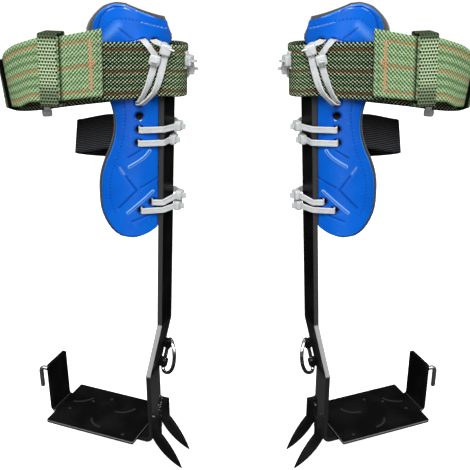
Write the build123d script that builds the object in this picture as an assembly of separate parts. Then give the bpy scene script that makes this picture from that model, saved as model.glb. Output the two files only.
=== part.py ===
from build123d import *
import os
from math import atan2, cos, hypot, radians, sin, sqrt

# A pair of strap-on tree climbing spikes: bent steel shanks with foot plates and twin gaffs, shin pads
# tied on with cable ties, and webbing calf straps closed by hook and loop.
# One spike is modelled in its own frame: x runs across the foot to the shank, y from toe to heel, and
# z up from the gaff points.  The other spike is its mirror image.  All lengths are in millimetres.

# The stance of the pair
HALF_STANCE = 149.7
TOE_OUT = 21.7

# Foot plate, one bent sheet
PLATE_LENGTH = 108.0
PLATE_WIDTH = 74.0
SHEET = 3.5
SHEET_BEND = 3.0
PLATE_TOP = 32.5
PLATE_CORNER = 1.5
UPSTAND_WIDTH = 35.0
UPSTAND_HEIGHT = 58.0
UPSTAND_CORNER = 2.5
TREAD_HEIGHT = 0.8
TREAD_WIDTH = 2.2
TREAD_DOT = 3.6
TREAD_DOTS = [(-22.4, 11.4), (-4.3, 22.2), (-40.5, -10.0), (38.1, -30.0)]
TREAD_ARCS = [
    [(-44.0, 3.5), (-34.0, 7.0), (-25.5, 17.0)],
    [(10.5, 3.5), (21.0, 6.0), (29.0, 16.5)],
    [(-8.2, -16.5), (-1.5, -24.5), (8.5, -27.5)],
]

# Shank, one bent flat bar
BAR_WIDTH = 22.5
BAR_THICKNESS = 5.0
BAR_SET_FORWARD = 10.2
BAR_FOOT_LENGTH = 82.0
BAR_FOOT_BEND = 5.0
BAR_JOG_BEND = 9.0
BAR_END_CORNER = 4.0
PLATE_TO_BEND = 6.8
JOG_START = 76.6
JOG_RISE = 66.0
JOG_OUT = 16.3
SHANK_LEAN = 2.9
UPPER_LENGTH = 281.0

# Gaffs, welded on the shank's tree side
GAFF_THICKNESS = 6.2
GAFF_POINT = 1.6
GAFF_OVERHANG = 2.0
GAFF_DEPTH = 9.0
GAFF_TOP = 27.5
GAFF_KNEE = 4.5
GAFF_HEEL = 2.5
GAFF_REACH = 32.8
GAFF_BELLY = 4.5
GAFF_BACK = 2.2
REAR_GAFF_RAISED = 10.5
WELD_LEG = 3.0

# D ring, swinging in two welded lugs
RING_WIRE = 4.0
RING_BOW = 22.0
RING_DEPTH = 19.3
RING_CORNER = 4.0
RING_SWING = -40.0
RING_OFF_BAR = 5.2
RING_BACK = 5.7
RING_RISE = -8.5
LUG_RISE = 0.6
LUG_SPACING = 25.0
LUG_LENGTH = 8.0
LUG_WALL = 1.5
LUG_PLAY = 0.08

# Hook rod on the upstand, for an ankle strap
HOOK_WIRE = 5.0
HOOK_HEIGHT = 47.0
HOOK_FORWARD = 8.0
HOOK_REACH = 14.5
HOOK_DROP = 24.0
HOOK_BEND = 5.5
HOOK_BEAD = 2.2

# Shin pad: a curved shell on a foam liner, beside the shank's upper part; heights count from the bar's top
PAD_TURN = 21.7
PAD_RADIUS = 46.0
PAD_CENTRE = -27.2
PAD_FRONT = 8.0
SHELL_WALL = 2.5
LINER_WALL = 6.0
LINER_RIM = 2.0
PAD_EDGE = -0.5
PAD_SHOULDER = 9.2
PAD_SHOULDER_GAP = 2.0
PAD_SHOULDER_TOP = 7.5
PAD_CORNER = 4.0
PAD_TOP = 28.0
PAD_BOTTOM = -170.5
PAD_SIDE = [
    (-31.0, 38.5), (-53.0, 32.5), (-59.5, 15.0), (-51.0, -26.0), (-38.5, -65.0), (-46.0, -101.0),
    (-55.0, -138.0), (-46.0, -168.5), (-24.0, -179.5), (-11.0, -176.0),
]
HOLE = 7.0
DOUBLE_HOLE = 8.2

# Cable ties
TIE_WIDTH = 6.0
TIE_THICKNESS = 1.5
TIE_CLEARANCE = 0.8
TIE_HEAD = 9.5
TIE_HEAD_HEIGHT = 6.0
TIE_TAIL = 3.5
TIE_TAIL_WIDTH = 5.4
TIE_HEAD_CHAMFER = 1.2
TIE_HOLE_COLUMN = -17.0
SHANK_TIE_NAMES = ["mid_tie_upper", "mid_tie_lower", "low_tie_upper", "low_tie_lower"]
SHANK_TIE_HOLES = [(-17.0, -72.9), (-17.6, -85.5), (-5.4, -144.6), (-15.1, -152.2)]
SHANK_TIE_SLACK = [6.0, 1.0, 8.0, 6.5]
SHANK_TIE_CLIMB_DEG = [3.0, 0.0, 15.0, 5.0]
VENT_HOLE_HEIGHT = -60.5
STRAP_HOLE_LOW = -47.4
STRAP_HOLE_HIGH = 5.2
STRAP_TIE_STACK = 1.9
INNER_TIE_HOLE = -14.0
OUTER_TIE_HOLE = -4.6
STRAP_TIE_SLANT_DEG = 15.0
INNER_TIE_HEAD = (-4.0, -14.2, -6.4)
INNER_TIE_ABOVE = [(-7.5, -15.4, 3.5), (-10.8, -14.8, 7.8), (-12.8, -11.4, 10.4), (-14.0, -8.5, 8.6)]
INNER_TIE_BELOW = [(-15.5, -15.6, -42.0), (-9.5, -15.4, -27.0)]
OUTER_TIE_HEAD = (6.6, -12.8, 2.1)
OUTER_TIE_ABOVE = [(2.0, -13.4, 7.2), (-1.5, -12.9, 8.6), (-4.2, -9.8, 9.7)]
OUTER_TIE_BELOW = [(-13.0, -17.2, -43.5), (0.8, -16.4, -27.0)]
SIDE_TIE_FRONT_HEAD = 9.7
SIDE_TIE_REAR_HEAD = 0.7
SIDE_TIE_LOW_SLOT = -8.0
SIDE_TIE_HIGH_SLOT = 16.5

# Calf strap webbing: stations of (across, back, height of the middle, width standing)
WEB = 2.4
STRAP_ROUTE = [
    (-104.0, -15.4, -20.0, 50.0), (-90.0, -15.4, -19.8, 51.0), (-66.0, -15.4, -19.5, 51.5),
    (-48.0, -15.4, -19.0, 51.5), (-36.0, -14.6, -18.5, 51.0), (-22.0, -12.4, -18.0, 50.0),
    (2.0, -9.4, -17.0, 47.0), (17.0, -5.0, -18.5, 46.0), (23.2, 6.0, -20.0, 46.0),
    (20.0, 19.0, -21.5, 47.0), (8.0, 30.0, -25.0, 50.0), (-20.0, 44.0, -33.0, 53.0),
    (-53.0, 52.0, -40.0, 54.0), (-90.0, 53.0, -46.0, 54.5), (-119.0, 46.0, -49.5, 54.0),
    (-136.5, 33.0, -48.5, 50.0), (-141.5, 17.0, -43.5, 45.0), (-134.0, 1.0, -36.0, 50.5),
    (-121.0, -13.0, -27.5, 55.5), (-110.0, -19.5, -21.2, 53.7), (-99.0, -21.1, -18.6, 55.8),
    (-83.4, -21.1, -17.0, 55.5),
]
ROUTE_STEPS = 3
PATCH = 1.5
PATCH_GAP = 0.3
PATCH_SEWN = 0.06
PATCH_MARGIN = 5.0
FLAP_GAP = 0.5
FLAP_LENGTH = 36.5
FLAP_RISE = 7.0
FLAP_END_WIDTH = 58.5
KEEPER_WEB = 1.8
KEEPER_WIDTH = 15.5
KEEPER_SET_BACK = 0.8
KEEPER_ROOM = 0.9
KEEPER_TOP_ROOM = 2.5
KEEPER_BOTTOM_ROOM = 4.0

# Elastic band of the shin pad: stations of (across, back, height of the middle)
ELASTIC = 1.8
ELASTIC_WIDTH = 33.0
ELASTIC_ROUTE = [
    (-27.0, 1.9, -78.0), (-37.0, 4.4, -79.0), (-50.0, 10.2, -82.0), (-69.0, 15.5, -88.0), (-78.0, 21.5, -91.5),
    (-70.0, 31.0, -95.5), (-48.0, 34.0, -97.5), (-31.0, 29.0, -97.0), (-25.0, 16.0, -95.0), (-24.5, 2.2, -93.5),
]


def sheet_profile(points, thickness, radii):
    """The edge-on face of a sheet or bar bent along a line of points, in the x-z plane."""
    line = FilletPolyline(*points, radius=radii)
    return Plane.XZ * trace(line, line_width=thickness)


def across(face, low, high):
    """Extrudes an x-z face over y from low to high."""
    return Pos(0, high, 0) * extrude(face, high - low)


def shape_foot_plate():
    """The tread plate with its outer tongue bent up."""
    plate = Pos(0, 0, PLATE_TOP - SHEET / 2) * Box(PLATE_LENGTH, PLATE_WIDTH, SHEET)
    plate = fillet(plate.edges().filter_by(Axis.Z), PLATE_CORNER)
    edge = -PLATE_LENGTH / 2
    wall = edge - SHEET_BEND - SHEET / 2
    level = PLATE_TOP - SHEET / 2
    points = [(edge + SHEET, level), (wall, level), (wall, PLATE_TOP + UPSTAND_HEIGHT)]
    tongue = across(sheet_profile(points, SHEET, SHEET_BEND + SHEET / 2), -UPSTAND_WIDTH / 2, UPSTAND_WIDTH / 2)
    top_edges = tongue.edges().filter_by(Axis.X).group_by(Axis.Z)[-1]
    plate += fillet(top_edges, UPSTAND_CORNER)
    for x, y in TREAD_DOTS:
        plate += Pos(x, y, PLATE_TOP) * Cylinder(TREAD_DOT / 2, 2 * TREAD_HEIGHT)
    for start, middle, end in TREAD_ARCS:
        rib = trace(ThreePointArc(start, middle, end), line_width=TREAD_WIDTH)
        plate += extrude(Pos(0, 0, PLATE_TOP - TREAD_HEIGHT) * rib, 2 * TREAD_HEIGHT)
    return plate


def bar_points():
    """The bends of the shank's centre line, as (x, z)."""
    level = PLATE_TOP - SHEET - BAR_THICKNESS / 2
    face = PLATE_LENGTH / 2 + PLATE_TO_BEND + BAR_FOOT_BEND
    middle = face + BAR_THICKNESS / 2
    low = PLATE_TOP + JOG_START
    high = low + JOG_RISE
    lean = radians(SHANK_LEAN)
    top = (middle + JOG_OUT + UPPER_LENGTH * sin(lean), high + UPPER_LENGTH * cos(lean))
    foot = (middle - BAR_FOOT_LENGTH, level)
    return [foot, (middle, level), (middle, low), (middle + JOG_OUT, high), top]


BAR_FRONT = -BAR_SET_FORWARD - BAR_WIDTH / 2
BAR_BACK = BAR_FRONT + BAR_WIDTH
TREE_FACE = bar_points()[1][0] + BAR_THICKNESS / 2


def shape_shank():
    """The flat bar: a foot under the plate, a bend up, a jog outwards and a leaning upper part."""
    radii = [BAR_FOOT_BEND + BAR_THICKNESS / 2, BAR_JOG_BEND, BAR_JOG_BEND]
    bar = across(sheet_profile(bar_points(), BAR_THICKNESS, radii), BAR_FRONT, BAR_BACK)
    corners = bar.edges().group_by(Axis.Z)[-1] + bar.edges().group_by(Axis.Z)[-2]
    short = [edge for edge in corners if abs(edge.length - BAR_THICKNESS) < BAR_THICKNESS / 4]
    return fillet(short, BAR_END_CORNER)


def gaff_places():
    """The front and rear gaffs: their y spans and how far each is raised."""
    front = BAR_FRONT - GAFF_OVERHANG
    rear = BAR_BACK + GAFF_OVERHANG
    return {"front_gaff": (front, front + GAFF_THICKNESS, 0.0),
            "rear_gaff": (rear - GAFF_THICKNESS, rear, REAR_GAFF_RAISED)}


def bulged(start, end, depth):
    """An arc between two points that swells to the left of the way from start to end."""
    dx, dz = end[0] - start[0], end[1] - start[1]
    share = depth / hypot(dx, dz)
    middle = ((start[0] + end[0]) / 2 - dz * share, (start[1] + end[1]) / 2 + dx * share)
    return ThreePointArc(start, middle, end)


def shape_gaff(low, high, raised):
    """A forged blade: straight against the shank, then curving out and down to a point."""
    top = PLATE_TOP + GAFF_TOP
    knee = PLATE_TOP + GAFF_KNEE
    outer = TREE_FACE + GAFF_DEPTH
    tip = (TREE_FACE + GAFF_REACH, 0.0)
    heel = (TREE_FACE, knee - GAFF_HEEL)
    blade = make_face([Line(heel, (TREE_FACE, top)), Line((TREE_FACE, top), (outer, top)),
                       Line((outer, top), (outer, knee)), bulged((outer, knee), tip, GAFF_BACK),
                       bulged(tip, heel, GAFF_BELLY)])
    solid = across(Plane.XZ * blade, low, high)
    back = Vector(outer - tip[0], 0, knee)
    taper = Plane(origin=(tip[0], (low + high) / 2, 0), x_dir=back, z_dir=back.cross(Vector(0, 1, 0)))
    half, narrow, length = GAFF_THICKNESS / 2, GAFF_POINT / 2, back.length
    plan = make_face(Polyline((-half, narrow), (0, narrow), (length, half), (3 * length, half), (3 * length, -half),
                              (length, -half), (0, -narrow), (-half, -narrow), close=True))
    return Pos(0, 0, raised) * (solid & taper * extrude(plan, 2 * length, both=True))


def shape_gaff_welds():
    """Fillet beads between the gaffs and the shank, on the sides that face each other, and over the tops."""
    beads = []
    for name, (low, high, raised) in gaff_places().items():
        side = high if name == "front_gaff" else low
        inward = WELD_LEG if name == "front_gaff" else -WELD_LEG
        base = PLATE_TOP + GAFF_KNEE + raised
        top = PLATE_TOP + GAFF_TOP + raised
        corner = make_face(Polyline((TREE_FACE, side), (TREE_FACE + WELD_LEG, side),
                                    (TREE_FACE, side + inward), close=True))
        beads.append(extrude(Pos(0, 0, base) * corner, top - base))
        cap = make_face(Polyline((TREE_FACE, top), (TREE_FACE + WELD_LEG, top),
                                 (TREE_FACE, top + WELD_LEG), close=True))
        beads.append(across(Plane.XZ * cap, max(low, BAR_FRONT), min(high, BAR_BACK)))
    return Compound(beads)


def shape_plate_welds():
    """Fillet beads along both sides of the shank's foot, under the plate."""
    under = PLATE_TOP - SHEET
    start = bar_points()[0][0]
    beads = []
    for side, outward in ((BAR_FRONT, -WELD_LEG), (BAR_BACK, WELD_LEG)):
        corner = make_face(Polyline((side, under), (side + outward, under), (side, under - WELD_LEG), close=True))
        beads.append(extrude(Plane.YZ.offset(start) * corner, PLATE_LENGTH / 2 - start))
    return Compound(beads)


def ring_plane():
    """The D ring's hinge: its z runs up the jog, its x straight off the shank's tree side."""
    (x0, z0), (x1, z1) = bar_points()[2:4]
    run = hypot(x1 - x0, z1 - z0)
    up = ((x1 - x0) / run, 0, (z1 - z0) / run)
    out = (up[2], 0, -up[0])
    off = BAR_THICKNESS / 2 + RING_OFF_BAR
    middle = ((x0 + x1) / 2 + off * out[0] + RING_RISE * up[0], RING_BACK - BAR_SET_FORWARD,
              (z0 + z1) / 2 + off * out[2] + RING_RISE * up[2])
    return Plane(origin=middle, x_dir=out, z_dir=up)


def shape_d_ring():
    """A D of round wire: a straight leg in the lugs and a round bow, swung to the front."""
    bow = Pos(RING_DEPTH - RING_BOW, 0) * Circle(RING_BOW)
    keep = Pos(RING_BOW, 0) * Rectangle(2 * RING_BOW, 4 * RING_BOW)
    outline = bow & keep
    outline = fillet(outline.vertices(), RING_CORNER)
    path = outline.face().outer_wire()
    start = Plane(origin=path @ 0, z_dir=path % 0)
    ring = sweep(start * Circle(RING_WIRE / 2), path=path)
    swung = Rot(0, 0, RING_SWING) * Rot(90, 0, 0) * ring
    return ring_plane() * swung


def shape_ring_lugs():
    """Two welded lugs that the ring's leg turns in."""
    reach = RING_OFF_BAR + RING_WIRE / 2 + LUG_WALL
    breadth = RING_WIRE + 2 * LUG_WALL
    lugs = []
    for rise in (LUG_RISE - LUG_SPACING / 2, LUG_RISE + LUG_SPACING / 2):
        block = Pos(reach / 2 - RING_OFF_BAR, 0, rise) * Box(reach, breadth, LUG_LENGTH)
        outer = block.edges().filter_by(Axis.Z).group_by(Axis.X)[-1]
        block = fillet(outer, LUG_WALL)
        block -= Pos(0, 0, rise) * Cylinder(RING_WIRE / 2 + LUG_PLAY, 2 * LUG_LENGTH)
        lugs.append(ring_plane() * block)
    return Compound(lugs)


def hook_root():
    """Where the hook rod leaves the upstand's outer face."""
    wall = -PLATE_LENGTH / 2 - SHEET_BEND - SHEET
    return wall, -HOOK_FORWARD, PLATE_TOP + HOOK_HEIGHT


def shape_strap_hook():
    """A rod that leaves the upstand and turns down, open at its lower end."""
    x, y, z = hook_root()
    line = FilletPolyline((x, y, z), (x - HOOK_REACH, y, z), (x - HOOK_REACH, y, z - HOOK_DROP), radius=HOOK_BEND)
    rod = sweep(Plane(origin=line @ 0, z_dir=line % 0) * Circle(HOOK_WIRE / 2), path=line)
    return rod + Pos(*(line @ 1)) * Sphere(HOOK_WIRE / 2)


def shape_hook_weld():
    """A round bead at the hook's root."""
    root = Plane(origin=hook_root(), z_dir=(-1, 0, 0))
    radius = HOOK_WIRE / 2
    bead = Pos(0, 0, HOOK_BEAD / 2) * Cone(radius + HOOK_BEAD, radius + HOOK_BEAD / 4, HOOK_BEAD)
    return root * (bead - Cylinder(radius, 4 * HOOK_BEAD))


def leg_plane():
    """The frame of everything tied to the upper shank.

    Its origin is the bar's front corner on the leg side, at the bar's top; z runs up the bar,
    and y points from the pad's front to the calf.
    """
    x, z = bar_points()[-1]
    lean = radians(SHANK_LEAN)
    turn = radians(PAD_TURN)
    out = Vector(cos(lean), 0, -sin(lean))
    back = Vector(0, 1, 0)
    origin = Vector(x, BAR_FRONT, z) - out * (BAR_THICKNESS / 2)
    return Plane(origin=origin, x_dir=out * cos(turn) + back * sin(turn), z_dir=(sin(lean), 0, cos(lean)))


def bar_corner(outward, backward):
    """A corner of the upper bar in the leg frame, from its front corner on the leg side."""
    turn = radians(PAD_TURN)
    return (outward * cos(turn) + backward * sin(turn), -outward * sin(turn) + backward * cos(turn))


def pad_depth(p, radius):
    """How far back the pad's curve of this radius lies at p across."""
    return PAD_RADIUS - PAD_FRONT - sqrt(radius ** 2 - (p - PAD_CENTRE) ** 2)


LINER_OUTSIDE = PAD_RADIUS - SHELL_WALL
LINER_INSIDE = LINER_OUTSIDE - LINER_WALL


def pad_outline(inset):
    """The pad's outline in the p-h plane, drawn in along its free side; its right side stands clear of the bar."""
    corners = [(PAD_EDGE, PAD_BOTTOM + inset), (PAD_EDGE, PAD_SHOULDER_GAP), (PAD_SHOULDER, PAD_SHOULDER_GAP),
               (PAD_SHOULDER, PAD_SHOULDER_TOP), (PAD_CORNER, PAD_TOP - inset)]
    ring = [corners[-1], *PAD_SIDE, corners[0]]
    side = []
    for before, (p, h), after in zip(ring, ring[1:], ring[2:]):
        dp, dh = after[0] - before[0], after[1] - before[1]
        share = inset / hypot(dp, dh)
        side.append((p - dh * share, h + dp * share))
    return make_face([Spline(*side), Polyline(side[-1], *corners, side[0])])


def pad_layer(outer, inner, inset):
    """One curved layer of the pad, between two radii."""
    reach = PAD_RADIUS - PAD_FRONT
    block = Pos(0, reach, 0) * extrude(Plane.XZ * pad_outline(inset), 2 * reach)
    height = 4 * (PAD_TOP - PAD_BOTTOM)
    axis = Pos(PAD_CENTRE, reach, 0)
    layer = block & (axis * Cylinder(outer, height) - axis * Cylinder(inner, height))
    for p, h, width in hole_places():
        layer -= Pos(p, 0, h) * Rot(90, 0, 0) * Cylinder(width / 2, 2 * PAD_RADIUS)
    return layer


def hole_places():
    """The pad's holes, as (across, up, diameter)."""
    places = [(p, h, HOLE) for p, h in SHANK_TIE_HOLES]
    places.append((TIE_HOLE_COLUMN, VENT_HOLE_HEIGHT, HOLE))
    places.append((TIE_HOLE_COLUMN, STRAP_HOLE_LOW, DOUBLE_HOLE))
    places.append((INNER_TIE_HOLE, STRAP_HOLE_HIGH, HOLE))
    places.append((OUTER_TIE_HOLE, STRAP_HOLE_HIGH, HOLE))
    return places


def tie_head(along, outward, place):
    """A cable tie's box head with its cut tail, standing on the band at a place."""
    box = Pos(0, 0, TIE_HEAD_HEIGHT / 2) * Box(TIE_HEAD, TIE_HEAD, TIE_HEAD_HEIGHT)
    box = chamfer(box.edges().group_by(Axis.Z)[-1], TIE_HEAD_CHAMFER)
    tail = Pos(0, 0, TIE_HEAD_HEIGHT) * Box(TIE_THICKNESS, TIE_TAIL_WIDTH, 2 * TIE_TAIL)
    head = box + tail
    return Plane(origin=place, x_dir=along, z_dir=outward) * head


def flat_band(core, clearance, width):
    """A closed band round a core outline in the x-y plane, centred on z = 0."""
    inside = offset(core, clearance, kind=Kind.ARC)
    outside = offset(core, clearance + TIE_THICKNESS, kind=Kind.ARC)
    return extrude(Pos(0, 0, -width / 2) * (outside - inside), width)


def shape_shank_tie(hole, slack, climb):
    """A tie through one hole of the pad, over its edge and round the bar, with its head on the tree side."""
    hole_p, hole_h = hole
    inside = hole_p + TIE_THICKNESS / 2 + TIE_CLEARANCE
    front = (inside, pad_depth(hole_p, PAD_RADIUS))
    back = (inside, pad_depth(inside + HOLE, LINER_INSIDE))
    near = bar_corner(BAR_THICKNESS + slack, 0)
    far = bar_corner(BAR_THICKNESS + slack, BAR_WIDTH)
    core = make_face(Polyline(front, near, far, bar_corner(0, BAR_WIDTH), back, close=True))
    band = flat_band(core, TIE_CLEARANCE, TIE_WIDTH)
    turn = radians(PAD_TURN)
    outward = (cos(turn), -sin(turn), 0)
    along = (-sin(turn), -cos(turn), 0)
    middle = ((near[0] + far[0]) / 2 + TIE_CLEARANCE * outward[0],
              (near[1] + far[1]) / 2 + TIE_CLEARANCE * outward[1], 0)
    tie = band + tie_head(along, outward, middle)
    return Pos(hole_p, 0, hole_h) * Rot(0, -climb, 0) * Pos(-hole_p, 0, 0) * tie


def catmull_rom(points, steps):
    """Points of a Catmull-Rom curve through the given ones, ends included."""
    padded = [points[0], *points, points[-1]]
    curve = []
    for a, b, c, d in zip(padded, padded[1:], padded[2:], padded[3:]):
        for i in range(steps):
            t = i / steps
            weights = (-t + 2 * t ** 2 - t ** 3, 2 - 5 * t ** 2 + 3 * t ** 3,
                       t + 4 * t ** 2 - 3 * t ** 3, t ** 3 - t ** 2)
            curve.append(tuple(sum(w * x for w, x in zip(weights, near)) / 2 for near in zip(a, b, c, d)))
    curve.append(points[-1])
    return curve


def webbing(route, thickness, steps):
    """A standing strip of webbing along a route of (p, q, height of the middle, width) stations."""
    stations = catmull_rom(route, steps)
    rings = []
    for i, (p, q, h, width) in enumerate(stations):
        before = stations[max(i - 1, 0)]
        after = stations[min(i + 1, len(stations) - 1)]
        dp, dq = after[0] - before[0], after[1] - before[1]
        run = hypot(dp, dq)
        np, nq = -dq / run * thickness / 2, dp / run * thickness / 2
        low, high = h - width / 2, h + width / 2
        rings.append(Wire.make_polygon([(p + np, q + nq, low), (p - np, q - nq, low),
                                        (p - np, q - nq, high), (p + np, q + nq, high)], close=True))
    return Solid.make_loft(rings, ruled=True)


def shape_calf_strap():
    """The long strap: from under the flap, over the pad, round the bar and the calf, back to the flap's root."""
    strap = webbing(STRAP_ROUTE, WEB, ROUTE_STEPS)
    height = TIE_THICKNESS + 2 * TIE_CLEARANCE
    slot = Box(4 * WEB, height, TIE_WIDTH + 2 * TIE_CLEARANCE)
    for station in (side_tie_front_station(), side_tie_rear_station()):
        for middle in (SIDE_TIE_LOW_SLOT - height / 2, SIDE_TIE_HIGH_SLOT + height / 2):
            strap -= upright_plane(station) * Pos(0, middle, 0) * slot
    return strap


def flap_depth():
    """The flap's middle: in front of the strap by both patches and a small gap."""
    return STRAP_ROUTE[0][1] - WEB - 2 * (PATCH + PATCH_SEWN) - PATCH_GAP


def flap_route():
    """The free end, from just past the strap's last station, rising a little to its end."""
    p, q, h, width = STRAP_ROUTE[-1]
    start = p + FLAP_GAP
    return [(start, flap_depth(), h, width),
            (start + FLAP_LENGTH, flap_depth(), h + FLAP_RISE, FLAP_END_WIDTH)]


def shape_strap_flap():
    """The strap's free end, which peels open."""
    return webbing(flap_route(), WEB, 1)


def shape_patch(depth):
    """A sewn hook or loop patch, as long as the flap less a margin all round."""
    (p0, _, h0, w0), (p1, _, h1, w1) = flap_route()
    return webbing([(p0 + PATCH_MARGIN, depth, h0, w0 - 2 * PATCH_MARGIN - FLAP_RISE),
                    (p1 - PATCH_MARGIN, depth, h0, w0 - 2 * PATCH_MARGIN - FLAP_RISE)], PATCH, 1)


def shape_flap_hook_patch():
    """The hook patch on the flap's inner face."""
    return shape_patch(flap_depth() + WEB / 2 + PATCH_SEWN + PATCH / 2)


def shape_strap_loop_patch():
    """The loop patch on the strap, under the flap."""
    return shape_patch(STRAP_ROUTE[0][1] - WEB / 2 - PATCH_SEWN - PATCH / 2)


def keeper_place():
    """The keeper's middle across the strap."""
    return STRAP_ROUTE[-1][0] - KEEPER_SET_BACK - KEEPER_WIDTH / 2


def shape_strap_keeper():
    """A sewn loop of webbing round both layers of the strap."""
    _, q, h, width = STRAP_ROUTE[-1]
    front = q - WEB / 2 - KEEPER_ROOM
    back = STRAP_ROUTE[0][1] + WEB / 2 + KEEPER_ROOM
    low = h - width / 2 - KEEPER_BOTTOM_ROOM
    high = h + width / 2 + KEEPER_TOP_ROOM
    size = (back - front, high - low)
    hole = Pos((front + back) / 2, (low + high) / 2) * RectangleRounded(*size, KEEPER_WEB)
    ring = offset(hole, KEEPER_WEB, kind=Kind.ARC) - hole
    return Plane.YZ.offset(keeper_place() - KEEPER_WIDTH / 2) * extrude(ring, KEEPER_WIDTH)


def shape_shin_elastic():
    """The pad's elastic loop, sewn to the back of the liner."""
    return webbing([(p, q, h, ELASTIC_WIDTH) for p, q, h in ELASTIC_ROUTE], ELASTIC, ROUTE_STEPS)


def looped_band(points, head_place, head_along, head_outward):
    """A tie along a hand-set loop of points that starts and ends in its head; the band faces outwards."""
    centre = sum((Vector(*point) for point in points), Vector(0, 0, 0)) / len(points)
    curve = [Vector(*point) for point in catmull_rom(points, ROUTE_STEPS)]
    rings = []
    for i, place in enumerate(curve):
        tangent = (curve[min(i + 1, len(curve) - 1)] - curve[max(i - 1, 0)]).normalized()
        outward = Vector(0, place.Y - centre.Y, place.Z - centre.Z)
        outward = (outward - tangent * outward.dot(tangent)).normalized()
        side = tangent.cross(outward) * (TIE_WIDTH / 2)
        thick = outward * (TIE_THICKNESS / 2)
        rings.append(Wire.make_polygon([place - side - thick, place + side - thick,
                                        place + side + thick, place - side + thick], close=True))
    band = Solid.make_loft(rings, ruled=True)
    place = Vector(*head_place) - Vector(*head_outward) * (TIE_THICKNESS / 2)
    return band + tie_head(head_along, head_outward, place)


def shape_strap_tie(head, above, below, hole_high, stack):
    """A tie that binds the strap to the pad, through the low hole and one high hole."""
    low = STRAP_HOLE_LOW + STRAP_TIE_STACK / 2 - stack
    liner = max(pad_depth(hole_high + HOLE / 2, LINER_INSIDE), pad_depth(TIE_HOLE_COLUMN, LINER_INSIDE))
    behind = liner + TIE_THICKNESS + TIE_CLEARANCE + stack / 2
    high = STRAP_HOLE_HIGH
    slant = radians(STRAP_TIE_SLANT_DEG)
    along = Vector(sin(slant), 0, cos(slant))
    leaving = tuple(Vector(*head) + along * (TIE_HEAD / 4))
    entering = tuple(Vector(*head) - along * (TIE_HEAD / 4))
    points = [leaving, *above, (hole_high, pad_depth(hole_high, PAD_RADIUS) - TIE_THICKNESS, high),
              (hole_high, liner, high), (hole_high, behind, high - HOLE),
              (TIE_HOLE_COLUMN, behind, low + HOLE), (TIE_HOLE_COLUMN, liner, low),
              (TIE_HOLE_COLUMN, pad_depth(TIE_HOLE_COLUMN, PAD_RADIUS) - TIE_WIDTH / 2, low), *below, entering]
    return looped_band(points, head, along, (0, -1, 0))


def shape_strap_tie_inner():
    """The strap tie nearer the leg."""
    return shape_strap_tie(INNER_TIE_HEAD, INNER_TIE_ABOVE, INNER_TIE_BELOW, INNER_TIE_HOLE, 0.0)


def shape_strap_tie_outer():
    """The strap tie nearer the tree, lying over the other one at the low hole."""
    return shape_strap_tie(OUTER_TIE_HEAD, OUTER_TIE_ABOVE, OUTER_TIE_BELOW, OUTER_TIE_HOLE, STRAP_TIE_STACK)


def upright_plane(station):
    """The upright plane across the strap at a station: x off the webbing, y up."""
    p, q, h, _ = station["at"]
    slope = station["slope"]
    return Plane(origin=(p, q, h), x_dir=(cos(slope), sin(slope), 0), z_dir=(sin(slope), -cos(slope), 0))


def upright_tie(station, low, high, head):
    """A tie round one layer of the strap, from a low end to a high end, in an upright plane across it."""
    core = Pos(0, (low + high) / 2) * Rectangle(WEB, high - low)
    return upright_plane(station) * (flat_band(core, TIE_CLEARANCE, TIE_WIDTH) + head)


def strap_station(index, share):
    """A point of the strap's route past one station, with the direction square to the webbing."""
    stations = catmull_rom(STRAP_ROUTE, ROUTE_STEPS)
    place = index * ROUTE_STEPS + share
    before, at, after = stations[place - 1], stations[place], stations[place + 1]
    heading = atan2(after[1] - before[1], after[0] - before[0])
    return {"at": at, "slope": heading - radians(90)}


def side_tie_front_station():
    """Where the front side tie crosses the strap."""
    return strap_station(7, 2)


def side_tie_rear_station():
    """Where the rear side tie crosses the strap."""
    return strap_station(8, 1)


def side_tie(station, head_height):
    """A tie through the strap's low and high slots at a station, its head outside."""
    head = tie_head((0, 1, 0), (1, 0, 0), (WEB / 2 + TIE_CLEARANCE, head_height, 0))
    return upright_tie(station, SIDE_TIE_LOW_SLOT, SIDE_TIE_HIGH_SLOT, head)


def shape_side_tie_front():
    """The front one of two ties through slots in the strap's fold beside the bar."""
    return side_tie(side_tie_front_station(), SIDE_TIE_FRONT_HEAD)


def shape_side_tie_rear():
    """The rear one of two ties through slots in the strap's fold beside the bar."""
    return side_tie(side_tie_rear_station(), SIDE_TIE_REAR_HEAD)


def shape_rear_tie():
    """A tie round the whole strap behind the calf, its head under the lower edge."""
    station = strap_station(13, 2)
    high = station["at"][3] / 2
    head = tie_head((1, 0, 0), (0, -1, 0), (0, -high - TIE_CLEARANCE, 0))
    return upright_tie(station, -high, high, head)


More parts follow.
